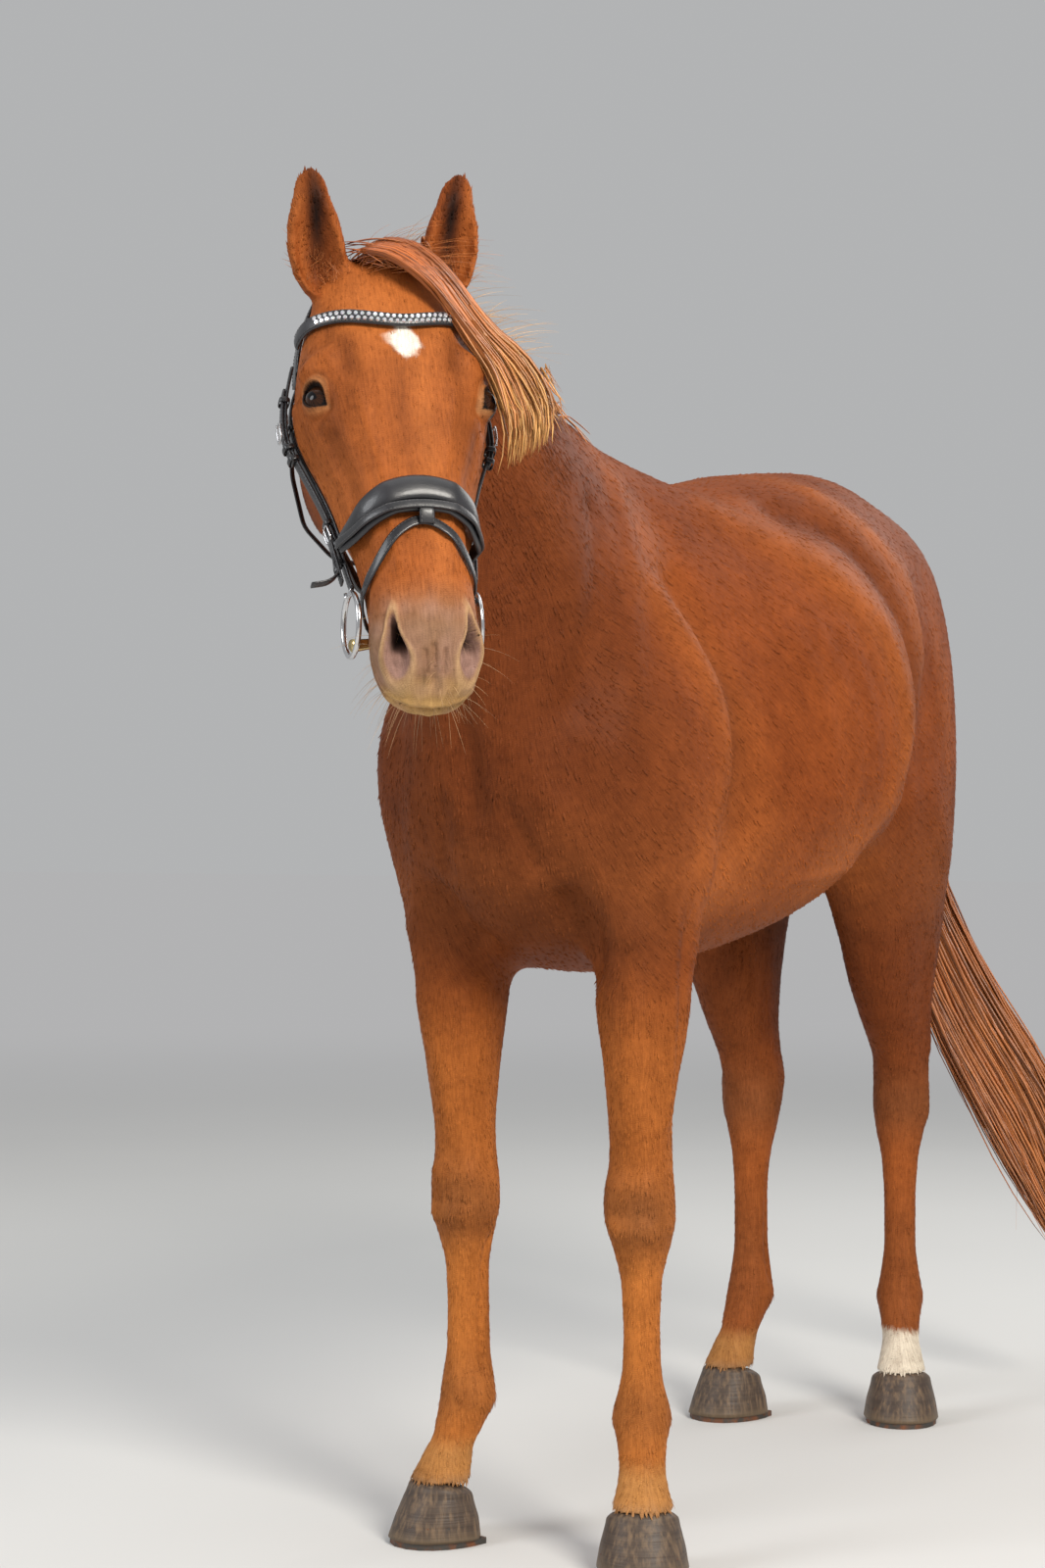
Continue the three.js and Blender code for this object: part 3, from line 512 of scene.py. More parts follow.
def grown(base, name, sizes, build):  # what a geometry node graph makes of an object
    tree = bpy.data.node_groups.new(name, "GeometryNodeTree")
    kinds = {float: "NodeSocketFloat", int: "NodeSocketInt", bpy.types.Object: "NodeSocketObject",
             bpy.types.Material: "NodeSocketMaterial"}
    tree.interface.new_socket("Geometry", in_out="INPUT", socket_type="NodeSocketGeometry")
    tree.interface.new_socket("Geometry", in_out="OUTPUT", socket_type="NodeSocketGeometry")
    for label, value in sizes.items():
        tree.interface.new_socket(label, in_out="INPUT", socket_type=kinds[type(value)])
    graph = Graph(tree)
    entry = tree.nodes.new("NodeGroupInput")
    result = build(graph, lambda label: Wire(tree, entry.outputs[label]))
    tree.links.new(result.socket, tree.nodes.new("NodeGroupOutput").inputs[0])
    modifier = base.modifiers.new(name, "NODES")
    modifier.node_group = tree
    for item in tree.interface.items_tree:
        if item.in_out == "INPUT" and item.name in sizes:
            modifier[item.identifier] = sizes[item.name]
    return settled(base, modifier)


def shaped(base, kind, **settings):  # what one plain modifier makes of an object
    modifier = base.modifiers.new(kind, kind)
    for key, value in settings.items():
        setattr(modifier, key, value)
    return settled(base, modifier)


def dropped(obj):
    mesh = obj.data
    bpy.data.objects.remove(obj)
    bpy.data.meshes.remove(mesh)


# ---- The skin ---------------------------------------------------------------------------
slots = {part["node"]: part["material_slot"] for part in frame["record"]["subparts"]}
fleshNodes = [n for n, s in slots.items() if s in ("coat", "dark_coat", "white_coat", "muzzle_skin")]
skinSize = {"grain": 0.0045, "passes": 250, "faces": 150000}
# how far each part is smoothed into what lies next to it
easeOf = {"head": 0.024, "muzzle": 0.010, "neck": 0.12, "ear": 0.0012, "forehand": 0.8, "barrel": 1.0,
          "hindquarters": 0.8, "dock": 0.05, "forearm": 0.03, "knee": 0.010, "cannon": 0.010,
          "pastern": 0.009, "gaskin": 0.03, "hock": 0.010, "eye": 0.01}

allPoints, allFaces, owners = [], [], []
for i, name in enumerate(fleshNodes + ["eye_left", "eye_right"]):
    points, triangles = meshArrays(frame["nodes"][name].data)
    keys, index = np.unique(np.round(points, 6), axis=0, return_inverse=True)
    allFaces.append(index.reshape(-1)[triangles] + sum(len(p) for p in allPoints))
    allPoints.append(keys)
    owners += [i] * len(triangles)
allPoints, allFaces, owners = np.concatenate(allPoints), np.concatenate(allFaces), np.array(owners)
solids = newPiece("flesh", newMesh("flesh", allPoints, allFaces))
fleshTree = treeOf(allPoints, allFaces)
skinMesh = shaped(solids, "REMESH", mode="VOXEL", voxel_size=skinSize["grain"])
dropped(solids)
rough = newPiece("rough skin", skinMesh)
report(f"skin remeshed: {len(skinMesh.polygons)} quads")


def nodeNear(points):
    return owners[[fleshTree.find_nearest(Vector(p))[2] for p in points]]


points, triangles = meshArrays(skinMesh)
near = nodeNear(points)
ease = np.full(len(fleshNodes) + 2, easeOf["eye"])
for i, name in enumerate(fleshNodes):
    ease[i] = easeOf[name.split("_")[0]]
underButtock = np.linalg.norm(np.abs(points - shift) - (0.12, 1.43, 1.23), axis=1)
setAttribute(skinMesh, "ease", "FLOAT", np.maximum(ease[near], 0.9 * smoothStep(0.17, 0.09, underButtock)))


def smoothing(graph, given):
    softEase = graph.add("GeometryNodeBlurAttribute", {"data_type": "FLOAT"},
                         {"Value": graph.named("ease", "FLOAT"), "Iterations": 10})
    eased = graph.add("GeometryNodeBlurAttribute", {"data_type": "FLOAT_VECTOR"},
                      {"Value": graph.add("GeometryNodeInputPosition"),
                       "Iterations": given("Passes"), "Weight": softEase})
    return graph.add("GeometryNodeSetPosition", None, {"Geometry": given("Geometry"), "Position": eased})


skinMesh = grown(rough, "smooth the skin", {"Passes": skinSize["passes"]}, smoothing)
dropped(rough)
rough = newPiece("rough skin", skinMesh)
report("skin smoothed")
ratio = skinSize["faces"] / (2 * len(skinMesh.polygons))
skinMesh = shaped(rough, "DECIMATE", ratio=ratio)
dropped(rough)
report(f"skin thinned to {len(skinMesh.polygons)} triangles")

eyeCentre = {s: onHead(eyePlace["down"] + eyePlace["drop"], eyePlace["deep"],
                       s * eyePlace["out"] + eyePlace["lean"][s]) for s in (1, -1)}
nostrilAt = {s: onHead(0.560, 0.040, s * 0.0425) for s in (1, -1)}
mouthLine = [(0.498, 0.100, 0.062), (0.530, 0.098, 0.066), (0.570, 0.092, 0.052),
             (0.600, 0.088, 0.025), (0.608, 0.086, 0.0)]
earBase = {s: onHead(0.036, 0.040, s * 0.076) for s in (1, -1)}
fineSpots = [(eyeCentre[s] + headLeft * 0.02 * s, 0.050, 0.0020) for s in (1, -1)]
fineSpots += [(nostrilAt[s], 0.052, 0.0024) for s in (1, -1)]
fineSpots += [(onHead(*spot[:2], s * spot[2]), 0.022, 0.0026) for spot in mouthLine for s in (1, -1)]
fineSpots += [(earBase[s] - headDown * h, 0.055, 0.0035) for s in (1, -1) for h in (0.03, 0.08, 0.13)]
fineSpots += [(onHead(0.14, 0.0, 0), 0.045, 0.0035)]

bm = bmesh.new()
bm.from_mesh(skinMesh)
for step in range(3):
    places = np.array([list(v.co) for v in bm.verts])
    bm.verts.index_update()
    ends = np.array([[v.index for v in e.verts] for e in bm.edges])
    middle = places[ends].mean(1)
    length = np.linalg.norm(places[ends[:, 0]] - places[ends[:, 1]], axis=1)
    wanted = np.zeros(len(ends), bool)
    for centre, reach, size in fineSpots:
        wanted |= (np.linalg.norm(middle - centre, axis=1) < reach) & (length > size * 1.35)
    bm.edges.ensure_lookup_table()
    bmesh.ops.subdivide_edges(bm, edges=[bm.edges[i] for i in np.nonzero(wanted)[0]], cuts=1)
    bmesh.ops.triangulate(bm, faces=[f for f in bm.faces if len(f.verts) > 3])
bm.to_mesh(skinMesh)
bm.free()
points, triangles = meshArrays(skinMesh)
report(f"head refined: {len(triangles)} triangles")


# Muscles, hollows and creases: a path in the horse's own layout, how far it reaches and how
# much it lifts the skin, in metres. Paths are mirrored from side to side unless one-sided.
flankRidge = [(0.160, 0.350, 1.566), (0.235, 0.486, 1.494), (0.290, 0.630, 1.379), (0.318, 0.690, 1.266),
              (0.318, 0.705, 1.193), (0.290, 0.640, 1.040)]
flankGroove = [(0.170, 0.540, 1.580), (0.215, 0.650, 1.545), (0.262, 0.765, 1.400), (0.278, 0.815, 1.295),
               (0.272, 0.840, 1.160), (0.255, 0.850, 1.070)]
hipRidge = [(0.150, 0.720, 1.590), (0.205, 0.800, 1.545), (0.250, 0.880, 1.447), (0.268, 0.915, 1.340)]
shoulderGroove = [(0.190, 0.130, 1.420), (0.215, 0.150, 1.342), (0.238, 0.175, 1.210), (0.240, 0.215, 1.060)]
shoulderRidge = [(0.185, 0.050, 1.400), (0.225, 0.110, 1.260), (0.235, 0.125, 1.130), (0.220, 0.075, 0.995)]
relief = {"body": 1.35, "legs": 1.65, "head": 1.45}  # how strongly the forms below are cut
bodyForms = [
    ([(0.215, 0.120, 1.190)], 0.100, 0.009),  # triceps
    ([(0.190, 0.060, 1.330), (0.205, 0.160, 1.230)], 0.060, 0.004),
    (shoulderGroove, 0.034, -0.010), (shoulderRidge, 0.036, 0.008), (flankGroove, 0.038, -0.013),
    (flankRidge, 0.044, 0.007), (hipRidge, 0.036, 0.006),
    ([(0.100, 0.080, 1.560), (0.160, 0.020, 1.440), (0.215, -0.110, 1.230)], 0.030, 0.006),  # shoulder blade
    ([(0.110, 0.170, 1.540), (0.165, 0.150, 1.420)], 0.040, -0.004),
    ([(0.115, -0.060, 1.500), (0.150, -0.110, 1.370), (0.190, -0.190, 1.230)], 0.028, -0.007),  # before it
    ([(0.205, -0.165, 1.180)], 0.045, 0.008),  # point of the shoulder
    ([(0.085, -0.220, 1.120)], 0.065, 0.010),  # breast
    ([(0.0, -0.300, 1.220), (0.0, -0.260, 1.060)], 0.022, -0.010),
    ([(0.112, -0.130, 0.925), (0.106, -0.120, 0.880), (0.070, -0.080, 0.840)], 0.024, -0.013),  # armpit folds
    ([(0.075, -0.300, 1.060), (0.100, -0.300, 1.000), (0.125, -0.270, 0.930)], 0.014, -0.006),
    ([(0.140, -0.230, 1.070), (0.165, -0.180, 0.990), (0.175, -0.120, 0.900)], 0.022, 0.006),
    ([(0.200, 0.090, 1.040), (0.215, 0.170, 1.000)], 0.028, -0.006),  # elbow crease
    ([(0.215, 0.130, 1.010)], 0.028, 0.007),  # elbow
    ([(0.262, 0.700, 1.100), (0.240, 0.830, 1.020), (0.220, 0.905, 0.985)], 0.030, 0.006),  # flank fold
    ([(0.258, 0.620, 1.060), (0.245, 0.760, 0.975)], 0.030, -0.004),
    ([(0.255, 0.930, 1.500)], 0.045, 0.008),  # point of the hip
    ([(0.250, 1.000, 1.440), (0.270, 1.120, 1.300)], 0.070, 0.005),
    ([(0.170, 1.250, 1.560), (0.215, 1.300, 1.360), (0.195, 1.320, 1.180), (0.165, 1.310, 1.040)],
     0.024, -0.007),  # groove of the haunch
    ([(0.245, 1.060, 1.100), (0.235, 1.150, 1.000)], 0.050, 0.005),
    ([(0.120, 1.450, 1.250), (0.120, 1.430, 1.180)], 0.060, 0.010),  # under the buttock
    ([(0.120, 1.410, 1.100), (0.115, 1.380, 0.980)], 0.070, 0.009),
    ([(0.265, 0.965, 1.090)], 0.045, 0.007),  # stifle
    ([(0.140, 0.300, 1.590), (0.150, 0.700, 1.580)], 0.060, 0.004),  # muscle beside the spine
    ([(0.0, 0.240, 1.640), (0.0, 0.560, 1.600), (0.0, 1.000, 1.650)], 0.020, -0.002),
    ([(0.0, 1.150, 1.660), (0.0, 1.330, 1.600)], 0.024, -0.004),
    ([(0.075, -0.480, 1.640), (0.085, -0.300, 1.480), (0.110, -0.190, 1.330)], 0.028, -0.006),  # gullet
    ([(0.080, -0.420, 1.700), (0.095, -0.240, 1.600), (0.110, -0.070, 1.540)], 0.040, 0.004),
    ([(0.225, 0.420, 0.975), (0.235, 0.640, 0.990)], 0.010, 0.003),  # belly vein
]
for k in range(6):  # ribs
    y = 0.400 + 0.068 * k
    rib = [(0.285, y - 0.03, 1.36), (0.318, y + 0.01, 1.24), (0.305, y + 0.05, 1.10)]
    bodyForms.append((rib, 0.020, 0.0018))
legForms = [  # leg, path of (height, back, out), reach, lift
    ("fore", [(0.900, -0.055, 0.020), (0.780, -0.045, 0.010), (0.640, -0.040, 0.0)], 0.028, 0.004),
    ("fore", [(0.900, 0.020, 0.070), (0.760, 0.015, 0.050), (0.640, 0.010, 0.040)], 0.014, -0.004),
    ("fore", [(0.900, -0.020, 0.075), (0.760, -0.015, 0.060), (0.640, -0.010, 0.045)], 0.014, 0.003),
    ("fore", [(0.880, 0.060, 0.040), (0.740, 0.050, 0.025)], 0.030, 0.003),
    ("fore", [(0.545, -0.050, 0.030), (0.545, -0.050, -0.030)], 0.013, 0.003),
    ("fore", [(0.505, -0.055, 0.032), (0.505, -0.055, -0.032)], 0.009, -0.003),
    ("fore", [(0.478, -0.050, 0.030), (0.478, -0.050, -0.030)], 0.012, 0.003),
    ("fore", [(0.510, 0.055, 0.010)], 0.022, 0.005),
    ("hind", [(0.830, -0.030, 0.060), (0.720, -0.020, 0.050), (0.660, 0.010, 0.040)], 0.022, 0.004),
    ("hind", [(0.850, 0.050, 0.055), (0.740, 0.060, 0.040), (0.660, 0.075, 0.030)], 0.016, -0.005),
    ("hind", [(0.700, 0.100, 0.020), (0.650, 0.105, 0.012)], 0.014, 0.003),
    ("hind", [(0.590, -0.010, 0.050), (0.540, -0.005, 0.045)], 0.020, 0.004),
]
tendons = {"fore": [(0.440, 0.012, 0.035), (0.330, 0.010, 0.032), (0.250, 0.010, 0.034)],
           "hind": [(0.440, 0.028, 0.034), (0.330, 0.020, 0.032), (0.250, 0.015, 0.034)]}
for kind, tendon in tendons.items():
    for side in (1, -1):
        legForms.append((kind, [(z, back, out * side) for z, back, out in tendon], 0.008, -0.0035))
        legForms.append((kind, [(0.205, 0.020, 0.040 * side)], 0.022, 0.003))  # fetlock
    legForms += [
        (kind, [(0.150, -0.045, 0.020), (0.150, -0.045, -0.020)], 0.014, -0.002),
        (kind, [(0.128, 0.040, 0.020), (0.128, 0.040, -0.020)], 0.012, -0.004),
    ]
headForms = [  # path of (down, deep, out), reach, lift
    ([(0.235, 0.098, 0.104), (0.300, 0.092, 0.092), (0.380, 0.082, 0.078)], 0.010, 0.005),  # facial crest
    ([(0.250, 0.130, 0.100), (0.330, 0.125, 0.085), (0.400, 0.120, 0.070)], 0.020, -0.003),
    ([(0.260, 0.045, 0.085), (0.330, 0.045, 0.072), (0.420, 0.050, 0.062)], 0.017, -0.005),
    ([(0.215, 0.000, 0.062), (0.320, 0.002, 0.044), (0.460, 0.012, 0.034)], 0.008, 0.0025),  # nasal bones
    ([(0.130, 0.030, 0.075)], 0.020, -0.004),  # hollow over the eye
    ([(0.158, 0.010, 0.070), (0.180, 0.008, 0.066)], 0.013, -0.0045),
    ([(0.155, 0.020, 0.082), (0.166, 0.040, 0.104)], 0.012, 0.004),  # brow
    ([(0.190, 0.084, 0.118), (0.222, 0.098, 0.112)], 0.014, 0.004),  # cheekbone behind the eye
    ([(0.222, 0.030, 0.088), (0.236, 0.050, 0.096)], 0.010, -0.003),  # under the eye
    ([(0.572, 0.030, 0.012), (0.592, 0.045, 0.010)], 0.0030, -0.0030),  # creases over the lip
    ([(0.566, 0.030, 0.0), (0.598, 0.050, 0.0)], 0.0030, -0.0034),
    ([(0.200, 0.170, 0.080)], 0.060, 0.004),  # cheek
    ([(0.120, 0.110, 0.090), (0.130, 0.170, 0.080)], 0.018, -0.004),
    ([(0.250, 0.110, 0.098), (0.285, 0.075, 0.086), (0.330, 0.035, 0.070)], 0.0045, 0.002),  # facial vein
    ([(0.300, 0.150, 0.080), (0.350, 0.120, 0.080), (0.395, 0.080, 0.074)], 0.0045, 0.0018),
    ([(0.455, 0.060, 0.060), (0.500, 0.082, 0.064)], 0.012, -0.003),
    ([(0.520, 0.020, 0.020), (0.570, 0.040, 0.016)], 0.012, 0.002),
    ([(0.600, 0.060, 0.0), (0.585, 0.035, 0.0)], 0.008, -0.002),
]


def lifted(points, normals, tree, path, reach, lift):
    path = np.asarray(path, float)
    if len(path) > 2:  # rounded corners
        t = np.linspace(0, len(path) - 1, 4 * len(path))
        path = np.stack([np.interp(t, np.arange(len(path)), path[:, k]) for k in range(3)], -1)
    path = np.array([list(tree.find_nearest(Vector(p))[0]) for p in path])
    edge = reach * 2.6
    near = np.nonzero(((points > path.min(0) - edge) & (points < path.max(0) + edge)).all(1))[0]
    points[near] += normals[near] * (lift * bell(awayFrom(points[near], path) / reach))[:, None]


for side in (1, -1):  # the ears' tips are round
    down, deep, out = headPlaceOf(points)
    tip = np.nonzero((down < -0.062) & (out * side > 0.03) & (out * side < 0.15) & (deep < 0.075))[0]
    high = -down[tip]
    top = high.max()
    across, behind = (v[tip] - np.polyval(np.polyfit(high, v[tip], 1), high) for v in (out, deep))
    wide = (0.80 * smoothStep(top - 0.038, top, high))[:, None]
    drop = 0.25 * np.maximum(high - top + 0.020, 0)[:, None]
    points[tip] += (headLeft * across[:, None] - headFront * behind[:, None]) * wide + headDown * drop
normals = normalsOf(points, triangles)
skinTree = treeOf(points, triangles)
for path, reach, lift in bodyForms:
    path = np.array(path)
    for side in ((1,) if (path[:, 0] == 0).all() else (1, -1)):
        lifted(points, normals, skinTree, path * (side, 1, 1) + shift, reach, lift * relief["body"])
for kind, path, reach, lift in legForms:
    for leg in (kind + "_left", kind + "_right"):
        onThis = [onLeg(leg, z, back, out) for z, back, out in path]
        lifted(points, normals, skinTree, onThis, reach, lift * relief["legs"])
mouth = np.array(mouthLine)
headForms += [(mouth, 0.0030, -0.0045), (mouth - (0, 0.006, 0), 0.004, 0.0016),
              (mouth + (0, 0.007, 0), 0.005, 0.0018)]
for path, reach, lift in headForms:
    path = np.array(path)
    for side in ((1,) if (path[:, 2] == 0).all() else (1, -1)):
        onThis = onHead(path[:, 0], path[:, 1], path[:, 2] * side)
        lifted(points, normals, skinTree, onThis, reach, lift * relief["head"])

# Eyelids: an almond opening over the ball, with folds above and below it.
lids = {"half": 0.0225, "top": 0.0160, "bottom": 0.0130, "thick": 0.0028, "hide": 0.0035}
gazeWay, cornerWay, browWay = {}, {}, {}
slit = {}
for side in (1, -1):
    gazeWay[side] = unit(headLeft * side * 0.74 + headFront * 0.64 - headDown * 0.04)
    corner = -headDown * 0.64 - headFront * 0.77
    cornerWay[side] = unit(corner - gazeWay[side] * (corner @ gazeWay[side]))
    brow = np.cross(gazeWay[side], cornerWay[side])
    browWay[side] = brow * np.sign(brow @ (headFront * 0.8 - headDown * 0.6))
    d = points - eyeCentre[side]
    near = np.nonzero((np.linalg.norm(d, axis=1) < 0.055) & (d @ gazeWay[side] > -0.004))[0]
    d = d[near]
    u, w, h = d @ cornerWay[side], d @ browWay[side], d @ gazeWay[side]
    rho = np.hypot(u, w)
    arch = 1 - np.abs(u / lids["half"]) ** 2.1
    topLine, bottomLine = lids["top"] * arch, -lids["bottom"] * arch
    inside = np.minimum(topLine - w, w - bottomLine)
    radius = eyePlace["radius"] + mix(lids["thick"], -lids["hide"], smoothStep(0, 0.0022, inside))
    ball = np.sqrt(np.maximum(radius ** 2 - rho ** 2, 0))
    sunk = h - 0.0025 * bell((rho - 0.026) / 0.007)
    lid = (ball + sunk + np.sqrt((ball - sunk) ** 2 + 0.003 ** 2)) / 2
    lid = np.where(inside > 0, ball, mix(ball, lid, smoothStep(0.0, 0.004, -inside)))
    topSide = w > 0
    lid -= 0.0020 * bell((w - topLine - 0.0070) / 0.0018) * topSide * smoothStep(0.030, 0.018, np.abs(u))
    lid -= 0.0012 * bell((w - topLine - 0.0120) / 0.0020) * topSide * smoothStep(0.034, 0.020, np.abs(u))
    lid -= 0.0011 * bell((w - bottomLine + 0.0060) / 0.0016) * ~topSide * smoothStep(0.028, 0.016, np.abs(u))
    fade = smoothStep(0.0, 0.010, h) * smoothStep(0.042, 0.030, rho)
    points[near] += gazeWay[side] * ((lid - h) * fade)[:, None]
    slit[side] = (near, inside)

# Nostrils: a soft comma pushed into the muzzle, with a raised rim.
nostrils = {}
for side in (1, -1):
    axis = unit(headFront * 0.80 + headLeft * side * 0.52 + headDown * 0.22)
    tall = -headDown - headLeft * side * 0.26
    tall = unit(tall - axis * (tall @ axis))
    across = np.cross(axis, tall)
    across = across * np.sign(across @ (headLeft * side))
    hit = skinTree.ray_cast(Vector(nostrilAt[side] + axis * 0.08), Vector(-axis), 0.2)[0]
    centre = np.array(hit)
    d = points - centre
    near = np.nonzero((np.linalg.norm(d, axis=1) < 0.065) & (normals @ axis > -0.2))[0]
    u, w = d[near] @ tall, d[near] @ across
    w = w - 0.006 * smoothStep(-0.014, 0.036, u) + 0.001
    half = mix(0.0180, 0.0072, smoothStep(-0.026, 0.024, u))
    q = np.hypot(u / 0.038, w / half)
    rim = bell((q - 1.28) / 0.24)
    points[near] += normals[near] * (0.0034 * rim)[:, None]
    inner = smoothStep(1.06, 0.62, q)
    points[near] -= axis * ((0.0075 + 0.0205 * smoothStep(-0.020, 0.014, u)) * inner)[:, None]
    nostrils[side] = (near, q, smoothStep(-0.014, 0.010, u))
skinMesh.vertices.foreach_set("co", points.ravel())
skinMesh.update()
normals = normalsOf(points, triangles)
skinTree = treeOf(points, triangles)
report("skin shaped")


def nearSkin(places):  # the nearest points of the skin and its normals there
    hits = [skinTree.find_nearest(Vector(p)) for p in places]
    return np.array([list(h[0]) for h in hits]), np.array([list(h[1]) for h in hits])


# ---- Colours and lie of the coat --------------------------------------------------------
# 'dark' and 'light' serve both the coat's own markings and the painted shade and painted light laid below;
# 'shade' and the deep hole colour are only painted shade
shades = {
    "body": colour(128, 64, 27), "shade": colour(48, 26, 17), "dark": colour(84, 42, 21),
    "light": colour(170, 98, 48), "foreleg": colour(178, 108, 50), "knee": colour(108, 68, 42),
    "pastern": colour(172, 124, 72), "muzzle": colour(126, 94, 70), "lip": colour(182, 146, 92),
    "pink": colour(158, 124, 110), "star": colour(226, 218, 208), "recessShade": colour(22, 14, 14),
    "nostril": colour(136, 106, 96), "rimTan": colour(172, 140, 104), "lid": colour(158, 116, 78),
    "rim": colour(34, 26, 24), "earInside": colour(26, 16, 13), "white": colour(206, 196, 180),
    "hoofhair": colour(140, 110, 84),
}
hairLengths = {"body": 0.011, "legs": 0.009, "face": 0.0055, "muzzle": 0.0030, "ears": 0.0045}
# painted shade along the grooves behind the shoulder and before the haunch, and painted highlights along the
# shoulder, flank and hip ridges
trunkShadeAndHighlights = [  # path, shade, strength, reach
    (shoulderGroove, "dark", 0.55, 0.034), (flankGroove, "dark", 0.45, 0.060),
    (shoulderRidge, "light", 0.28, 0.055), (flankRidge, "light", 0.30, 0.055),
    (hipRidge, "light", 0.34, 0.050)]
# painted shade in the hollows over the eyes and in the grooves beside the nasal bones, with two marks on one
# side of the face only
faceHollowShade = [  # shade, strength, down and its reach, out and its reach, whether on both sides
    ("dark", 0.55, 0.145, 0.020, 0.070, 0.016, True), ("dark", 0.40, 0.270, 0.040, 0.088, 0.012, True),
    ("dark", 0.40, 0.235, 0.075, -0.008, 0.009, False), ("dark", 0.45, 0.280, 0.070, 0.068, 0.018, False),
    ("dark", 0.60, 0.172, 0.020, 0.066, 0.013, True)]
mapPatch = 0.003  # how far one tuft or lock spreads on the flat map


def wobble(points, scale, seed):  # a smooth wander between about -1 and 1
    made = np.random.default_rng(seed)
    total = np.zeros(len(points))
    for k in range(6):
        way = unit(made.normal(size=3)) * scale * (0.7 + 0.25 * k)
        total += np.sin(points @ way + made.uniform(0, 6.28)) / 6 ** 0.5
    return total


def ofLeg(part, leg):
    return np.char.endswith(part.astype(str), leg)


def chart(points, part):  # where a point of the skin lies on its flat map
    x, y, z = (points - shift).T
    down, deep, out = headPlaceOf(points)
    flat = np.zeros((len(points), 2))

    def lay(mask, across, beside, run, box):
        angle = np.arctan2(across, beside) + math.pi
        flat[mask, 0] = mix(box[0], box[2], (angle[mask] / (2 * math.pi)) % 1.0)
        flat[mask, 1] = mix(box[1], box[3], np.clip(run[mask], 0, 1))
    trunk = np.isin(part, ["forehand", "barrel", "hindquarters"])
    lay(trunk, x, z - 1.25, (y + 0.35) / 1.95, (0.01, 0.01, 0.59, 0.60))
    ahead = (points - neckBase) @ neckWay
    beside = points - neckBase - ahead[:, None] * neckWay
    lay(part == "neck", beside[:, 0], beside @ unit(np.cross(neckWay, [1, 0, 0])), ahead / 0.8,
        (0.01, 0.62, 0.40, 0.90))
    lay(np.isin(part, ["head", "muzzle"]), out, deep - 0.10, (down + 0.12) / 0.80, (0.62, 0.70, 0.88, 0.98))
    for name, side, low in (("ear_left", 1, 0.70), ("ear_right", -1, 0.84)):
        lay(part == name, out - side * 0.08, deep - 0.04, (0.05 - down) / 0.22, (0.90, low, 0.99, low + 0.12))
    lay(part == "dock", x, y - 1.50, (z - 1.20) / 0.40, (0.42, 0.62, 0.52, 0.76))
    for k, leg in enumerate(legStance):
        backBy, outBy = legPlaceOf(leg, points)
        lay(ofLeg(part, leg), outBy, backBy, z, (0.62 + 0.09 * k, 0.02, 0.70 + 0.09 * k, 0.66))
    return flat


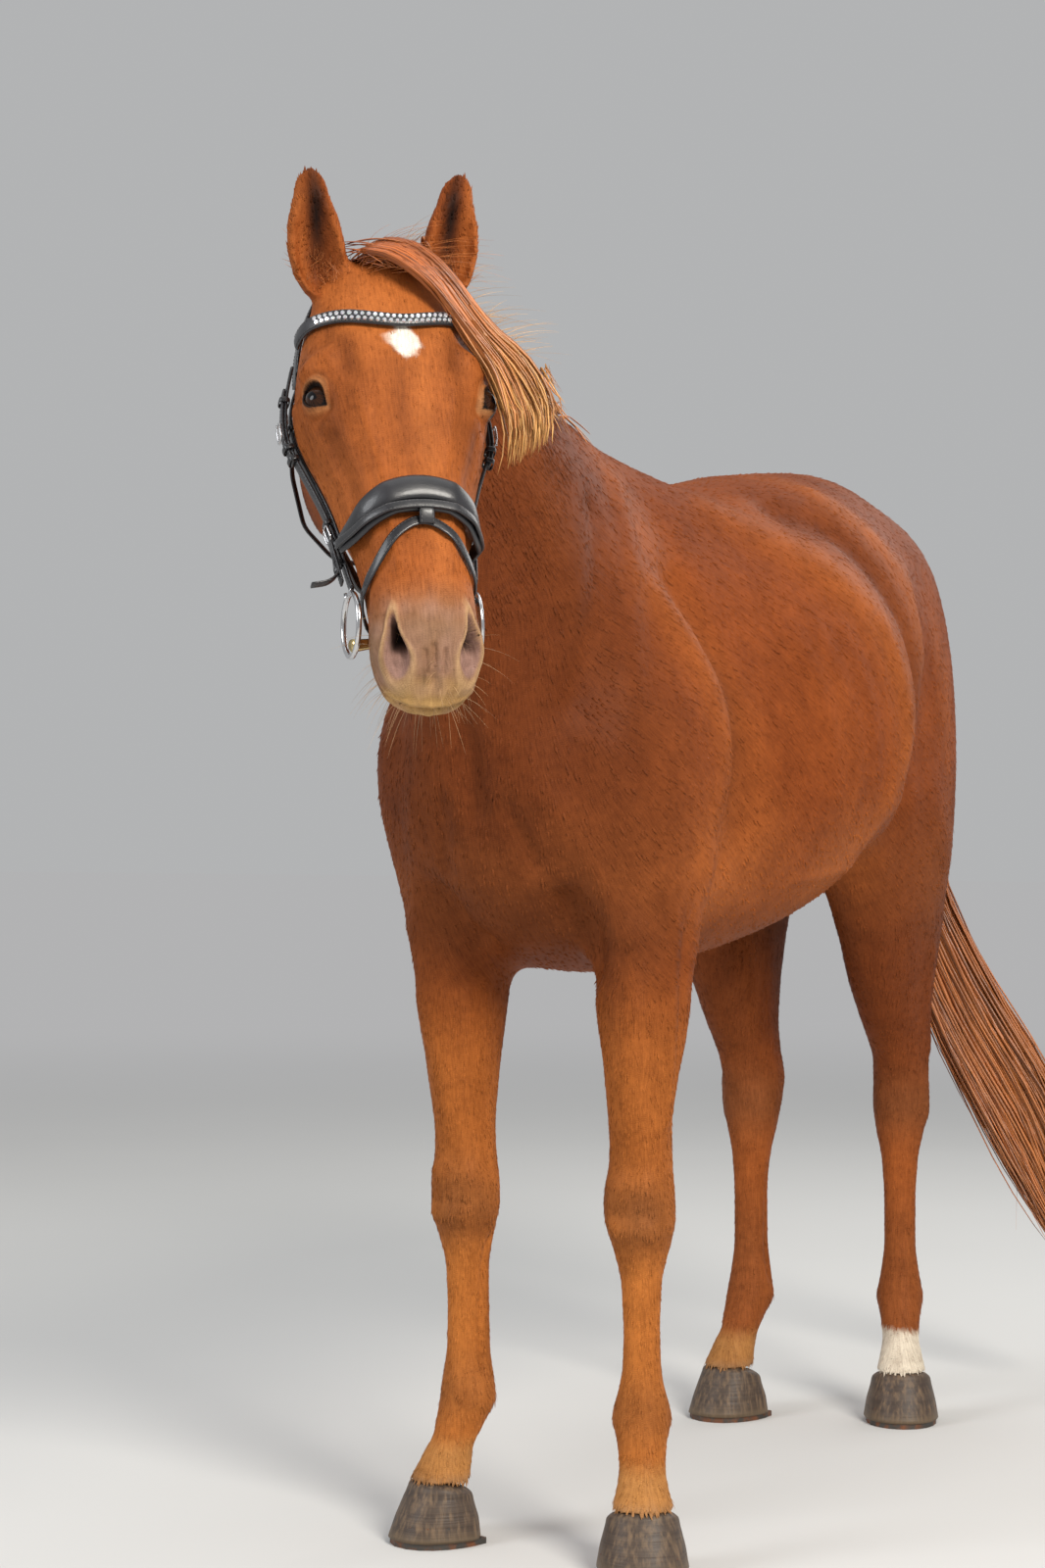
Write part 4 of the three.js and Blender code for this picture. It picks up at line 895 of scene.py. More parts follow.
def coatAt(points, normals, part):  # colour, bareness, hair length and lie of the coat
    x, y, z = (points - shift).T
    down, deep, out = headPlaceOf(points)
    aside = np.abs(out)
    onFace = np.isin(part, ["head", "muzzle"])
    wander = wobble(points, 9, 3)
    behind = np.maximum(smoothStep(0.10, 0.24, deep), smoothStep(0.75, 0.95, down))
    before = onFace * (1 - behind)
    tone = np.tile(shades["body"], (len(points), 1))
    naked = np.zeros(len(points))
    length = np.full(len(points), hairLengths["body"])
    lie = np.tile([0, 0.80, -0.60], (len(points), 1))

    def lay(shade, amount):
        tone[:] = mix(tone, shades[shade], np.clip(amount, 0, 1)[:, None])
    # trunk and neck
    lay("dark", 0.30 * smoothStep(1.35, 1.62, z) * (y > -0.2) + 0.10 * wander)
    lay("light", 0.40 * smoothStep(1.15, 0.95, z) * smoothStep(0.80, 0.95, z) + 0.10 * wobble(points, 17, 5))
    # painted shade: the neck, shoulder and breast are darkened as if in the head's shadow, and the underside
    # of the trunk as the shade beneath it
    trunk = smoothStep(0.70, 0.95, z) * behind * ~np.char.startswith(part.astype(str), "ear")
    lay("dark", trunk * (0.66 * smoothStep(0.14, -0.14, y) + 0.30 * smoothStep(0.98, 0.86, z)))
    # painted shade on the thighs and gaskins of the hind legs
    lay("dark", 0.50 * smoothStep(0.80, 0.95, y) * smoothStep(0.55, 0.70, z) * smoothStep(1.20, 1.00, z))
    # painted shade deep in the armpits
    armpit = np.linalg.norm(np.stack([np.abs(x) - 0.100, y + 0.115, (z - 0.880) * 0.6], -1), axis=1)
    lay("shade", 0.75 * bell(armpit / 0.040) * (z < 1.05))
    # painted shade in the grooves and painted highlights on the ridges of the trunk
    oneSide = np.stack([np.abs(x), y, z], -1)
    for path, shade, strength, wide in trunkShadeAndHighlights:
        lay(shade, strength * bell(awayFrom(oneSide, np.array(path)) / wide) * smoothStep(0.90, 1.05, z))
    lie[part == "neck"] = (0, 0.62, -0.78)
    breast = smoothStep(-0.10, -0.24, y) * smoothStep(1.45, 1.30, z) * (part == "forehand")
    lie = mix(lie, np.array([0, 0.1, -1.0]), breast[:, None])
    haunch = smoothStep(1.05, 1.25, y) * (part == "hindquarters")
    lie = mix(lie, np.array([0, 0.35, -0.95]), haunch[:, None])
    lie[part == "dock"] = (0, 0.2, -1)
    # legs
    lay("foreleg", 0.50 * smoothStep(0.88, 0.66, z) * (y < 0.5))
    for leg in legStance:
        mine = ofLeg(part, leg)
        backBy, _ = legPlaceOf(leg, points)
        ahead = smoothStep(0.03, -0.03, backBy)
        lie[mine] = (0, 0.06, -1)
        length[mine] = hairLengths["legs"]
        coronet = mine * smoothStep(0.108, 0.090, z)
        fetlock = mine * bell((z - 0.185) / 0.050) * smoothStep(0.022, 0.048, backBy)
        length += 0.018 * fetlock + 0.003 * coronet
        if leg.startswith("fore"):
            lay("foreleg", mine * 0.60 * smoothStep(0.62, 0.40, z))
            knee = np.clip(0.50 + 0.30 * wobble(points, 40, 31), 0, 1)
            lay("knee", mine * bell((z - 0.500) / 0.060) * ahead * knee)
            # painted shade along the tendon groove of the cannon and under the front of the knee
            lay("dark", mine * 0.38 * bell((backBy - 0.024) / 0.007) * bell((z - 0.340) / 0.080))
            lay("dark", mine * 0.30 * bell((z - 0.462) / 0.016) * smoothStep(0.03, -0.02, backBy))
            lay("knee", mine * bell((z - 0.225) / 0.050) * 0.35)
        else:
            lay("light", mine * smoothStep(0.62, 0.40, z) * 0.35)
            lay("knee", mine * bell((z - 0.560) / 0.065) * 0.55)
            lay("knee", mine * smoothStep(0.45, 0.30, z) * 0.30)
        lay("pastern", mine * smoothStep(0.165, 0.130, z) * 0.75)
        lay("hoofhair", coronet * 0.6)
        if leg == "hind_left":
            edge = 0.158 + 0.007 * wobble(points, 45, 8)
            lay("white", mine * smoothStep(edge + 0.006, edge - 0.006, z))
    # face
    lie[onFace] = headDown
    length[onFace] = hairLengths["face"]
    # painted light: the forehead and the front of the face are painted lighter as if sunlit, more over the
    # cheeks, with a painted highlight down the nose just left of its middle
    lay("light", before * 0.70 * bell((down - 0.105) / 0.065) * smoothStep(0.095, 0.040, aside))
    lay("light", before * (0.45 + 0.20 * bell((down - 0.30) / 0.12) * smoothStep(0.02, 0.10, deep)))
    lay("light", onFace * 0.60 * bell((out - 0.020) / 0.015) * smoothStep(0.150, 0.185, down))
    # painted shade in the hollows and grooves of the face
    for shade, strength, low, lowReach, wide, wideReach, both in faceHollowShade:
        across = aside if both else out
        lay(shade, onFace * strength * bell((down - low) / lowReach) * bell((across - wide) / wideReach))
    lay("dark", onFace * 0.22 * wobble(points, 34, 12))
    # muzzle
    grey = onFace * smoothStep(0.484 + 0.014 * wander, 0.550, down + 0.10 * (deep - 0.05))
    lay("muzzle", grey)
    lay("pink", grey * 0.28 * bell((aside - 0.030) / 0.022) * bell((down - 0.570) / 0.035))
    lay("lip", onFace * smoothStep(0.590, 0.612, down + 0.25 * (deep - 0.06)) * (0.85 + 0.15 * wander))
    # painted shade in the cleft at the middle of the lips
    lay("recessShade", grey * 0.40 * bell((np.abs(out + 0.004) - 0.009) / 0.003) * bell((down - 0.600) / 0.013))
    lay("pink", grey * 0.25 * np.maximum(wobble(points, 120, 14), 0))
    naked = np.maximum(naked, grey * smoothStep(0.52, 0.57, down) * 0.75)
    length = mix(length, hairLengths["muzzle"], grey)
    star = 1 - np.abs(down - 0.143 - 0.2 * out) / 0.031 - np.abs(out - 0.004) / 0.026
    star = smoothStep(-0.14, 0.30, star + 0.15 * wobble(points, 330, 9))
    lay("star", onFace * star * (deep < 0.05))
    # ears
    for side, name in ((1, "ear_left"), (-1, "ear_right")):
        mine = part == name
        lie[mine] = -headDown
        length[mine] = hairLengths["ears"]
        inEar = mine * smoothStep(0.15, 0.6, normals @ unit(headFront * 0.8 + headLeft * side * 0.45))
        middle = out * side - 0.076 - 0.12 * (0.036 - down)
        lay("earInside", inEar * bell((middle - 0.002) / 0.0145) * bell((down + 0.046) / 0.058))
        lay("light", inEar * smoothStep(0.010, 0.026, np.abs(middle)) * 0.45)
        lay("dark", mine * smoothStep(-0.085, -0.120, down) * 0.4)
        length += 0.004 * inEar
    return tone, naked, length, unit(lie - normals * (lie * normals).sum(1)[:, None])


part = np.array(fleshNodes + ["head", "head"])[nodeNear(points)]
tone, naked, length, lie = coatAt(points, normals, part)
for side in (1, -1):
    near, inside = slit[side]
    around = wobble(points[near], 60, 17 + side)
    lidAmount = (0.48 + 0.20 * around) * smoothStep(0.016 + 0.004 * around, 0.004, -inside)
    tone[near] = mix(tone[near], shades["lid"], lidAmount[:, None])
    tone[near] = mix(tone[near], shades["rim"], smoothStep(0.0035, 0.0015, -inside)[:, None])
    naked[near] = np.maximum(naked[near], smoothStep(0.010, 0.003, -inside))
    length[near] = length[near] * smoothStep(0.004, 0.016, -inside)
    near, q, high = nostrils[side]
    tone[near] = mix(tone[near], shades["rimTan"], (0.65 * bell((q - 1.26) / 0.22))[:, None])
    tone[near] = mix(tone[near], shades["nostril"], smoothStep(1.12, 0.92, q)[:, None])
    # painted shade deep in the upper part of each nostril
    tone[near] = mix(tone[near], shades["recessShade"], (smoothStep(0.98, 0.66, q) * high)[:, None])
    naked[near] = np.maximum(naked[near], smoothStep(1.7, 1.2, q))
    length[near] = length[near] * smoothStep(1.2, 1.6, q)
uv = chart(points, part)
setAttribute(skinMesh, "coatTone", "FLOAT_COLOR", tone)
setAttribute(skinMesh, "naked", "FLOAT", naked)
setAttribute(skinMesh, "lie", "FLOAT_VECTOR", lie)
setAttribute(skinMesh, "hairLength", "FLOAT", length)
setAttribute(skinMesh, "rootPlace", "FLOAT_VECTOR", np.concatenate([uv, np.zeros((len(uv), 1))], 1))
cornerUV = uv[triangles]
acrossSeam = (cornerUV[..., 0].max(1) - cornerUV[..., 0].min(1)) > 0.2  # such faces fold to one side
cornerUV[acrossSeam, :, 0] = cornerUV[acrossSeam, :, 0].max(1)[:, None]
skinMesh.uv_layers.new(name="OFBake").data.foreach_set("uv", cornerUV.reshape(-1))
skin = newPiece("skin", skinMesh, "coat", "coat", fleshNodes)
skinPoints, skinFaces = points, triangles
report("skin coloured")

# ---- Eyes --------------------------------------------------------------------------------
irisSize = 0.0175
for side, name in ((1, "eye_left"), (-1, "eye_right")):
    mesh = drawn(name, {"u_segments": 48, "v_segments": 32, "radius": eyePlace["radius"]},
                 bmesh.ops.create_uvsphere)
    ball, _ = meshArrays(mesh)
    # the ball's own z looks out; a clear swelling stands over the iris
    ball[:, 2] += 0.0012 * smoothStep(0.0165, 0.004, np.hypot(ball[:, 0], ball[:, 1])) * (ball[:, 2] > 0)
    gaze = ball / irisSize + np.where(ball[:, 2:] < 0, (9, 0, 0), (0, 0, 0))  # no iris on the back
    setAttribute(mesh, "gaze", "FLOAT_VECTOR", gaze)
    placed = ball @ np.array([cornerWay[side], browWay[side], gazeWay[side]]) + eyeCentre[side]
    if np.cross(cornerWay[side], browWay[side]) @ gazeWay[side] < 0:
        mesh.flip_normals()
    mesh.vertices.foreach_set("co", placed.ravel())
    newPiece("eye " + name[4:], mesh, "eye", "eye", (name,))
report("eyes in")

# ---- Hooves and shoes -----------------------------------------------------------------------
hoofSize = {"toe": {"fore": 0.006, "hind": 0.012}, "levels": 15, "around": 64, "nails": 3}
hoofRows = np.array([  # height, half width, front, back, squareness
    (0.0093, 0.0655, -0.0620, 0.0620, 2.3), (0.0390, 0.0605, -0.0500, 0.0600, 2.3),
    (0.0800, 0.0525, -0.0300, 0.0540, 2.2), (0.0870, 0.0500, -0.0265, 0.0510, 2.2),
    (0.0925, 0.0450, -0.0210, 0.0450, 2.1), (0.0960, 0.0350, -0.0120, 0.0350, 2.0)])


def onFoot(leg, lx, ly, z):
    s = legStance[leg]
    side = 1 if leg.endswith("left") else -1
    turn = math.radians(s["turn"]) * side
    ly = ly - 0.052 - hoofSize["toe"][leg[:4]] / 2
    return np.stack([lx * math.cos(turn) - ly * math.sin(turn) + side * s["x"] + shift[0],
                     lx * math.sin(turn) + ly * math.cos(turn) + s["y"] + shift[1], z], -1)


def squared(value, power):  # bends a circle's cosine or sine towards a square
    return np.sign(value) * np.abs(value) ** power


def closedTube(rings, looped=False):  # rings (n, m, 3) to points and faces, ends capped
    n, m = rings.shape[:2]
    points = rings.reshape(-1, 3)
    faces = [(i * m + k, i * m + (k + 1) % m, (i + 1) % n * m + (k + 1) % m, (i + 1) % n * m + k)
             for i in range(n if looped else n - 1) for k in range(m)]
    for ring, order in () if looped else ((0, -1), (n - 1, 1)):
        points = np.concatenate([points, rings[ring].mean(0)[None]])
        faces += [(len(points) - 1, ring * m + k, ring * m + (k + 1) % m)[::order] for k in range(m)]
    a, b, c, d = (points[[f[i] for f in faces]] for i in (0, 1, 2, -1))
    volume = np.einsum("ij,ij->i", a, np.cross(b, c) + np.cross(c, d)).sum()
    return points, [f[::-1] for f in faces] if volume < 0 else faces


def joined(parts):
    points, faces, count = [], [], 0
    for p, f in parts:
        points.append(p)
        faces += [tuple(i + count for i in face) for face in f]
        count += len(p)
    return np.concatenate(points), faces


angle = np.linspace(0, 2 * math.pi, hoofSize["around"], endpoint=False)
c, s = np.cos(angle), np.sin(angle)
for leg in legStance:
    rings = []
    for z in [*np.linspace(0.0093, 0.084, hoofSize["levels"]), 0.087, 0.0905, 0.0935, 0.0960]:
        half, front, back, power = (np.interp(z, hoofRows[:, 0], hoofRows[:, k]) for k in (1, 2, 3, 4))
        front = front - hoofSize["toe"][leg[:4]]
        middle = 0.3 * back
        lx = half * squared(c, 2 / power)
        ly = middle + np.where(s < 0, middle - front, back - middle) * squared(s, 2 / power)
        swell = 1 + 0.012 * bell((z - 0.083) / 0.004) - 0.010 * bell((z - 0.0765) / 0.003)
        ly = ly - 0.010 * smoothStep(0.3, 0.9, s) * bell(lx / 0.008)  # cleft between the heels
        drop = -0.014 * smoothStep(0, 1, (ly + 0.040) / 0.090) * smoothStep(0.03, 0.08, z)
        rings.append(onFoot(leg, lx * swell, middle + (ly - middle) * swell, z + drop))
    points, faces = closedTube(np.array(rings))
    newPiece("hoof " + leg, newMesh("hoof " + leg, points, faces), "horn", "horn", ("hoof_" + leg,))
    shoe = frame["nodes"]["shoe_" + leg].data
    shoe.materials.clear()
    shoe.materials.append(looks["iron"])


def scattered(name, places, alongs, outs, sizes, unitMesh, look):
    # one small shape at every place, joined into one mesh
    base = newPiece(name + " places", newMesh(name, places, []))
    for label, values in (("alongWay", alongs), ("outWay", outs), ("sizes", sizes)):
        setAttribute(base.data, label, "FLOAT_VECTOR", values)
    stamp = newPiece(name + " stamp", unitMesh)

    def build(graph, given):
        shape = graph.add("GeometryNodeObjectInfo", None, {"Object": given("Shape")}, "Geometry")
        turned = graph.add("FunctionNodeAxesToRotation", {"primary_axis": "Z", "secondary_axis": "Y"},
                           {"Primary Axis": graph.named("outWay"), "Secondary Axis": graph.named("alongWay")})
        placed = graph.add("GeometryNodeInstanceOnPoints", None,
                           {"Points": given("Geometry"), "Instance": shape, "Rotation": turned,
                            "Scale": graph.scaled(graph.named("sizes"), given("Scale"))})
        solid = graph.add("GeometryNodeRealizeInstances", None, {"Geometry": placed})
        return graph.add("GeometryNodeSetMaterial", None, {"Geometry": solid, "Material": given("Material")})
    made = grown(base, name, {"Shape": stamp, "Scale": 1.0, "Material": looks[look]}, build)
    dropped(base)
    dropped(stamp)
    return made


def cone(name, sides, low, high, tall, *turns):
    return drawn(name, {"cap_ends": True, "segments": sides, "radius1": low, "radius2": high, "depth": tall},
                 bmesh.ops.create_cone, *turns)


# nail heads in each wall just over the shoe
nailPlaces, nailOuts = [], []
for leg in legStance:
    for side in (1, -1):
        for k in range(hoofSize["nails"]):
            a = math.radians(-18 - 26 * k)
            half, front, middle, high = 0.0612, -0.052 - hoofSize["toe"][leg[:4]], 0.018, 0.030
            lx = side * half * squared(math.cos(a), 2 / 2.3)
            ly = middle + (middle - front) * squared(math.sin(a), 2 / 2.3)
            spot, hub = onFoot(leg, lx, ly, high), onFoot(leg, 0.0, middle, high)
            nailPlaces.append(spot)
            nailOuts.append(unit(spot - hub))
count = len(nailPlaces)
nails = scattered("clenches", nailPlaces, np.tile([0, 0, 1], (count, 1)), nailOuts,
                  np.tile([0.005, 0.005, 0.0022], (count, 1)), cone("nail", 8, 0.5, 0.34, 1.0), "iron")
newPiece("nail clenches", nails, "iron", "shoe_iron", smooth=False)
report("hooves in")

# ---- Bridle ------------------------------------------------------------------------------------
noseband = {"down": 0.391, "deep": 0.082, "width": 0.050, "strap": 0.022, "padding": 0.015, "backing": 0.006}
flash = {"down": 0.468, "deep": 0.078, "width": 0.013, "thick": 0.0036}
browband = {"down": 0.092, "deep": 0.076, "sag": 0.027, "width": 0.019, "thick": 0.0070}
bit = {"ring": 0.0355, "wire": 0.0072, "mouthpiece": 0.0165}
gems = {"rows": 2, "from": 0.17, "to": 0.83, "size": 0.0082, "pitch": 0.0078, "lane": 0.0066}
stitching = {"pitch": 0.0048, "size": [0.0009, 0.0032, 0.0007], "inset": 0.0022}
stitchRuns = []


def reaches(starts, ways, far=0.30):  # how far the skin lies from each start
    hits = [skinTree.ray_cast(Vector(start), Vector(way), far) for start, way in zip(starts, ways)]
    return np.array([hit[3] if hit[0] is not None else 0.0 for hit in hits])


def laid(starts, ways, widths, clear, taut=10):  # stations of a strap drawn over the skin
    widths = np.broadcast_to(widths, len(starts))[:, None]
    beside = unit(np.cross(np.gradient(starts + ways * 0.1, axis=0), ways))
    lanes = [reaches(starts + beside * widths * k, ways) for k in np.linspace(-0.5, 0.5, 5)]
    reach = np.maximum.reduce(lanes)
    for step in range(taut):
        reach[1:-1] = np.maximum(reach[1:-1], (reach[:-2] + reach[2:]) / 2)
    return starts + ways * (reach + clear)[:, None]


def smoothPath(path, count):
    path = np.asarray(path, float)
    run = runOf(path)
    path = sampled(path, run, np.linspace(0, run[-1], count))
    for step in range(2):
        path[1:-1] = (path[:-2] + 2 * path[1:-1] + path[2:]) / 4
    return path


def strapShape(path, outs, width, thick, power=3.2, around=14, stitched=False, looped=False):
    n = len(path)
    outs = np.broadcast_to(outs, (n, 3))
    width, thick = np.broadcast_to(width, n)[:, None], np.broadcast_to(thick, n)[:, None]
    ahead = unit(np.roll(path, -1, 0) - np.roll(path, 1, 0) if looped else np.gradient(path, axis=0))
    beside = unit(np.cross(ahead, outs))
    up = unit(np.cross(beside, ahead))
    a = np.linspace(0, 2 * math.pi, around, endpoint=False) + math.pi / around
    across, over = (squared(v, 2 / power) / 2 for v in (np.cos(a), np.sin(a)))
    rings = path[:, None] + beside[:, None] * (across * width)[..., None] \
        + up[:, None] * ((over + 0.5) * thick)[..., None]
    for edge in (1, -1) if stitched else ():
        stitchRuns.append((path + beside * edge * (width / 2 - stitching["inset"]) + up * thick * 0.93, up))
    return closedTube(rings, looped=looped)


def rodShape(path, outs, size, around=8, looped=False):
    return strapShape(path, outs, size, size, 2, around, looped=looped)


def roundHead(turnFrom, turnTo, count, band, dip):  # rays in towards a strap round the nose
    a = np.radians(np.linspace(turnFrom, turnTo, count))
    ways = headLeft * np.cos(a)[:, None] + headFront * np.sin(a)[:, None]
    return a, onHead(band["down"] - dip(np.sin(a)), band["deep"], 0 * a), ways


def bridlePiece(name, parts, nodes=(), look="leather", slot="bridle_leather"):
    points, faces = joined(parts)
    return newPiece(name, newMesh(name, points, faces), look, slot, nodes)


def buckle(centre, along, out, width, height, bar=0.0022):  # a rounded frame with its tongue
    along = unit(along)
    out = unit(out - along * (out @ along))
    t = np.linspace(0, 2 * math.pi, 32, endpoint=False)
    path = centre + np.outer(squared(np.cos(t), 0.55) * width / 2, np.cross(along, out)) \
        + np.outer(squared(np.sin(t), 0.55) * height / 2, along)
    tongue = centre + np.outer(np.linspace(-0.5, 0.54, 8), along * height) + out * bar * 0.9
    return [rodShape(path, out, bar, looped=True), rodShape(tongue, out, bar * 0.8)]


def buckleOn(path, ways, i, lift, width, height):
    return buckle(path[i] + ways[i] * lift, path[i + 1] - path[i - 1], ways[i], width, height)


def keeper(path, outs, at, width, thick, depth=0.007):  # a leather loop round a strap
    i = int(at * (len(path) - 1))
    ahead = unit(path[min(i + 1, len(path) - 1)] - path[max(i - 1, 0)])
    beside = unit(np.cross(ahead, outs[i]))
    up = np.cross(beside, ahead)
    t = np.linspace(0, 2 * math.pi, 24, endpoint=False)
    loop = path[i] + np.outer(squared(np.cos(t), 0.5) * (width / 2 + 0.001), beside) \
        + np.outer(squared(np.sin(t), 0.5) * (thick / 2 + 0.0012) + thick / 2, up)
    return strapShape(loop, unit(loop - path[i] - up * thick / 2), depth, 0.0016, 3, 8, looped=True)


a, starts, ways = roundHead(-90, 270, 145, noseband, lambda s: 0.021 * np.where(s > 0, np.abs(s) ** 3, s))
front = np.maximum(0, np.sin(a)) ** 0.7
widths = mix(noseband["strap"], noseband["width"], front)
base = laid(starts, ways, widths, 0.0015, 20)[:-1]
ways, widths, front = ways[:-1], widths[:-1], front[:-1]
broad = front[:, None]
# a flat strap runs along the lower edge of the padding, and rounded padding stands above it
lower = base + headDown * (widths * 0.5 - 0.0060)[:, None] * broad + ways * (0.006 + 0.0065 * broad)
upper = base - headDown * 0.0062 * broad + ways * (0.003 + 0.003 * broad)
backing = noseband["backing"] + noseband["padding"] * 0.45 * front
bridlePiece("padded noseband", [
    strapShape(base, ways, widths, backing, 2.4, 22, looped=True),
    strapShape(lower, ways, 0.0120, 0.0042, stitched=True, looped=True),
    strapShape(upper, ways, 0.014 + 0.021 * front, 0.004 + 0.0085 * front, 2.0, 20, looped=True),
], ("noseband",))

a, starts, ways = roundHead(-88, 268, 121, flash,
                            lambda s: np.where(s > 0, 0.064 * np.abs(s) ** 3.2, 0.044 * s))
path, outs = laid(starts, ways, flash["width"], 0.0025, 16)[:-1], ways[:-1]
top = path[int(np.argmax(path @ headFront)) - 1]
loop = smoothPath([top - headDown * down + headFront * front for down, front in
                   ((-0.006, 0.004), (0.0, 0.008), (0.008, 0.011), (0.014, 0.010), (0.020, 0.006))], 14)
tail = smoothPath(path[10:30] + outs[10:30] * 0.0042, 24)
bridlePiece("flash strap", [
    strapShape(path, outs, flash["width"], flash["thick"], stitched=True, looped=True),
    strapShape(loop, headFront, 0.019, 0.004, stitched=True),
    *(keeper(path, outs, at, flash["width"], flash["thick"]) for at in (0.135, 0.165, 0.20)),
    strapShape(tail, outs[[10 + int(k * 19 / 23) for k in range(24)]], 0.0125, 0.003, stitched=True),
], ("flash_strap",))
metal = buckleOn(path, outs, 18, 0.0065, 0.020, 0.020)

u = np.linspace(0, 1, 61)
a = np.radians(2 + 176 * u)
browOuts = headLeft * np.cos(a)[:, None] + headFront * np.sin(a)[:, None]
starts = onHead(browband["down"] + browband["sag"] * np.sin(math.pi * u) ** 2.4, browband["deep"], 0 * u)
browPath = laid(starts, browOuts, browband["width"], 0.0015, 20)
bridlePiece("browband", [strapShape(browPath, browOuts, browband["width"], browband["thick"], 2.3, 18, True)],
            ("browband",))

a = np.radians(np.linspace(-24, 204, 81))
ways = headLeft * np.cos(a)[:, None] + unit(-headDown + headFront * 0.30) * np.sin(a)[:, None]
path = smoothPath(laid(np.tile(onHead(0.074, 0.112, 0.0), (81, 1)), ways, 0.024, 0.002, 4), 81)
bridlePiece("headpiece", [strapShape(path, ways, 0.030, 0.005, stitched=True)], ("headpiece",))

rings, mouthpieces = [], []
for side, name in ((1, "left"), (-1, "right")):
    ways = np.tile(headLeft * side, (61, 1))
    out = ways[0]
    path = onHead(0.108 + 0.332 * u, 0.106 + 0.008 * np.sin(math.pi * u), 0 * u)
    path = smoothPath(laid(path, ways, 0.016, 0.0080, 40), 61)
    straps = [strapShape(path, ways, 0.0150, 0.0045, stitched=True),
              strapShape(path[6:26] + out * 0.0046, out, 0.0145, 0.0040, stitched=True)]
    for at, thick in ((0.16, 0.009), (0.36, 0.009), (0.40, 0.009), (0.70, 0.006), (0.80, 0.006)):
        straps.append(keeper(path, ways, at, 0.015, thick))
    metal += buckleOn(path, ways, 17, 0.010, 0.022, 0.024) + buckleOn(path, ways, 45, 0.008, 0.021, 0.022)
    if side < 0:  # the long end of the strap has slipped its keeper and stands out
        loose = smoothPath([path[50] + out * 0.006, path[56] + out * 0.012,
                            path[59] + out * 0.030 - headDown * 0.004,
                            path[60] + out * 0.052 - headDown * 0.006], 16)
        straps.append(strapShape(loose, -headDown, 0.013, 0.0032, stitched=True))
    free = smoothPath([path[44] + out * 0.006, path[52] + out * 0.009, path[58] + out * 0.010], 16)
    straps.append(strapShape(free, out, 0.0145, 0.0035, stitched=True))
    v = np.linspace(0, 1, 41)
    hang = onHead(0.112 + 0.262 * v, 0.134 - 0.030 * v, 0 * v)
    hang = smoothPath(laid(hang, ways[:41], 0.012, 0.0015, 20), 41)
    hangers = [strapShape(hang, out, 0.0125, 0.0042, stitched=True), keeper(hang, ways, 0.30, 0.0125, 0.0045)]
    metal += buckleOn(hang, ways, 10, 0.0062, 0.018, 0.018)
    bridlePiece("cheekpiece " + name, straps, ("cheekpiece_" + name,))
    bridlePiece("noseband hanger " + name, hangers, ("noseband_hanger_" + name,))
    # loose ring on the bit, with the end of the mouthpiece in it
    ringBox = np.array([list(c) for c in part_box("bit_" + name)])
    centre = ringBox.mean(0)
    centre[2] = ringBox[1, 2] - bit["ring"] - 0.0055
    t = np.linspace(0, 2 * math.pi, 48, endpoint=False)
    ringWay = unit(headFront * 0.98 - headLeft * side * 0.05)
    ringDown = unit(headDown - ringWay * (headDown @ ringWay))
    ring = centre + (np.outer(np.cos(t), ringWay) + np.outer(np.sin(t), ringDown)) * bit["ring"]
    rings.append(rodShape(ring, unit(ring - centre), bit["wire"], 12, looped=True))
    hub = centre + ringDown * bit["ring"]
    inner = hub - headLeft * side * 0.024 - headFront * 0.012 - headDown * 0.012
    v = np.linspace(0, 1, 10)
    bar = mix(hub + headLeft * side * 0.006, inner, v[:, None])
    mouthpieces.append(rodShape(bar, headFront, bit["mouthpiece"] - 0.004 * v, 16))
    join = smoothPath([path[-2], (path[-1] + centre - ringDown * 0.034) / 2,
                       centre - ringDown * 0.0395 + out * 0.004], 10)
    metal.append(strapShape(join, out, 0.010, 0.004, 2.2, 10))
bridlePiece("bit rings", rings, ("bit_left", "bit_right"), "steel", "bit_steel")
bridlePiece("mouthpiece ends", mouthpieces, (), "brass", "bit_steel")
bridlePiece("buckles", metal, (), "steel", "bit_steel")

spots = np.array([(0.118, 0.158, 0.100), (0.152, 0.188, 0.104), (0.190, 0.222, 0.104), (0.246, 0.258, 0.088),
                  (0.280, 0.280, 0.050), (0.288, 0.286, 0.0)])
spots = np.concatenate([spots * (1, 1, -1), spots[-2::-1]])
down, deep, out = spots.T
reach = reaches(onHead(down, deep, 0 * out), headLeft * np.sign(out + 1e-9)[:, None], 0.2)
wide = np.maximum(np.abs(out), (reach + 0.004) * (np.abs(out) > 0.08)) * np.sign(out)
throat = smoothPath(onHead(down, deep, wide), 80)
throatOuts = unit(throat - onHead(0.18, 0.13, 0.0))
bridlePiece("throatlash", [strapShape(throat, throatOuts, 0.012, 0.0035, stitched=True)], ("throatlash",))
report("straps in")

# crystals: close rows set along the front of the browband
browAhead = unit(np.gradient(browPath, axis=0))
browSide = unit(np.cross(browAhead, browOuts))
browUp = np.cross(browSide, browAhead)
run = runOf(browPath)
places, alongs, outs, sizes = [], [], [], []
for row in range(gems["rows"]):
    t = np.arange(gems["from"] * run[-1], gems["to"] * run[-1], gems["pitch"])
    t = t + gems["pitch"] * 0.5 * (row % 2)
    lane = row - (gems["rows"] - 1) / 2
    alongs.append(sampled(browAhead, run, t))
    outs.append(sampled(browUp + browSide * 0.20 * lane, run, t))
    places.append(sampled(browPath + browSide * lane * gems["lane"] + browUp * 0.0066, run, t))
    sizes.append(np.full((len(t), 3), gems["size"]) * rng.uniform(0.9, 1.05, (len(t), 1)))
crystals = scattered("crystals", *(np.concatenate(v) for v in (places, alongs, outs, sizes)),
                     cone("gem", 8, 0.5, 0.28, 0.45), "gem")
newPiece("browband crystals", crystals, "gem", "bridle_leather", smooth=False)

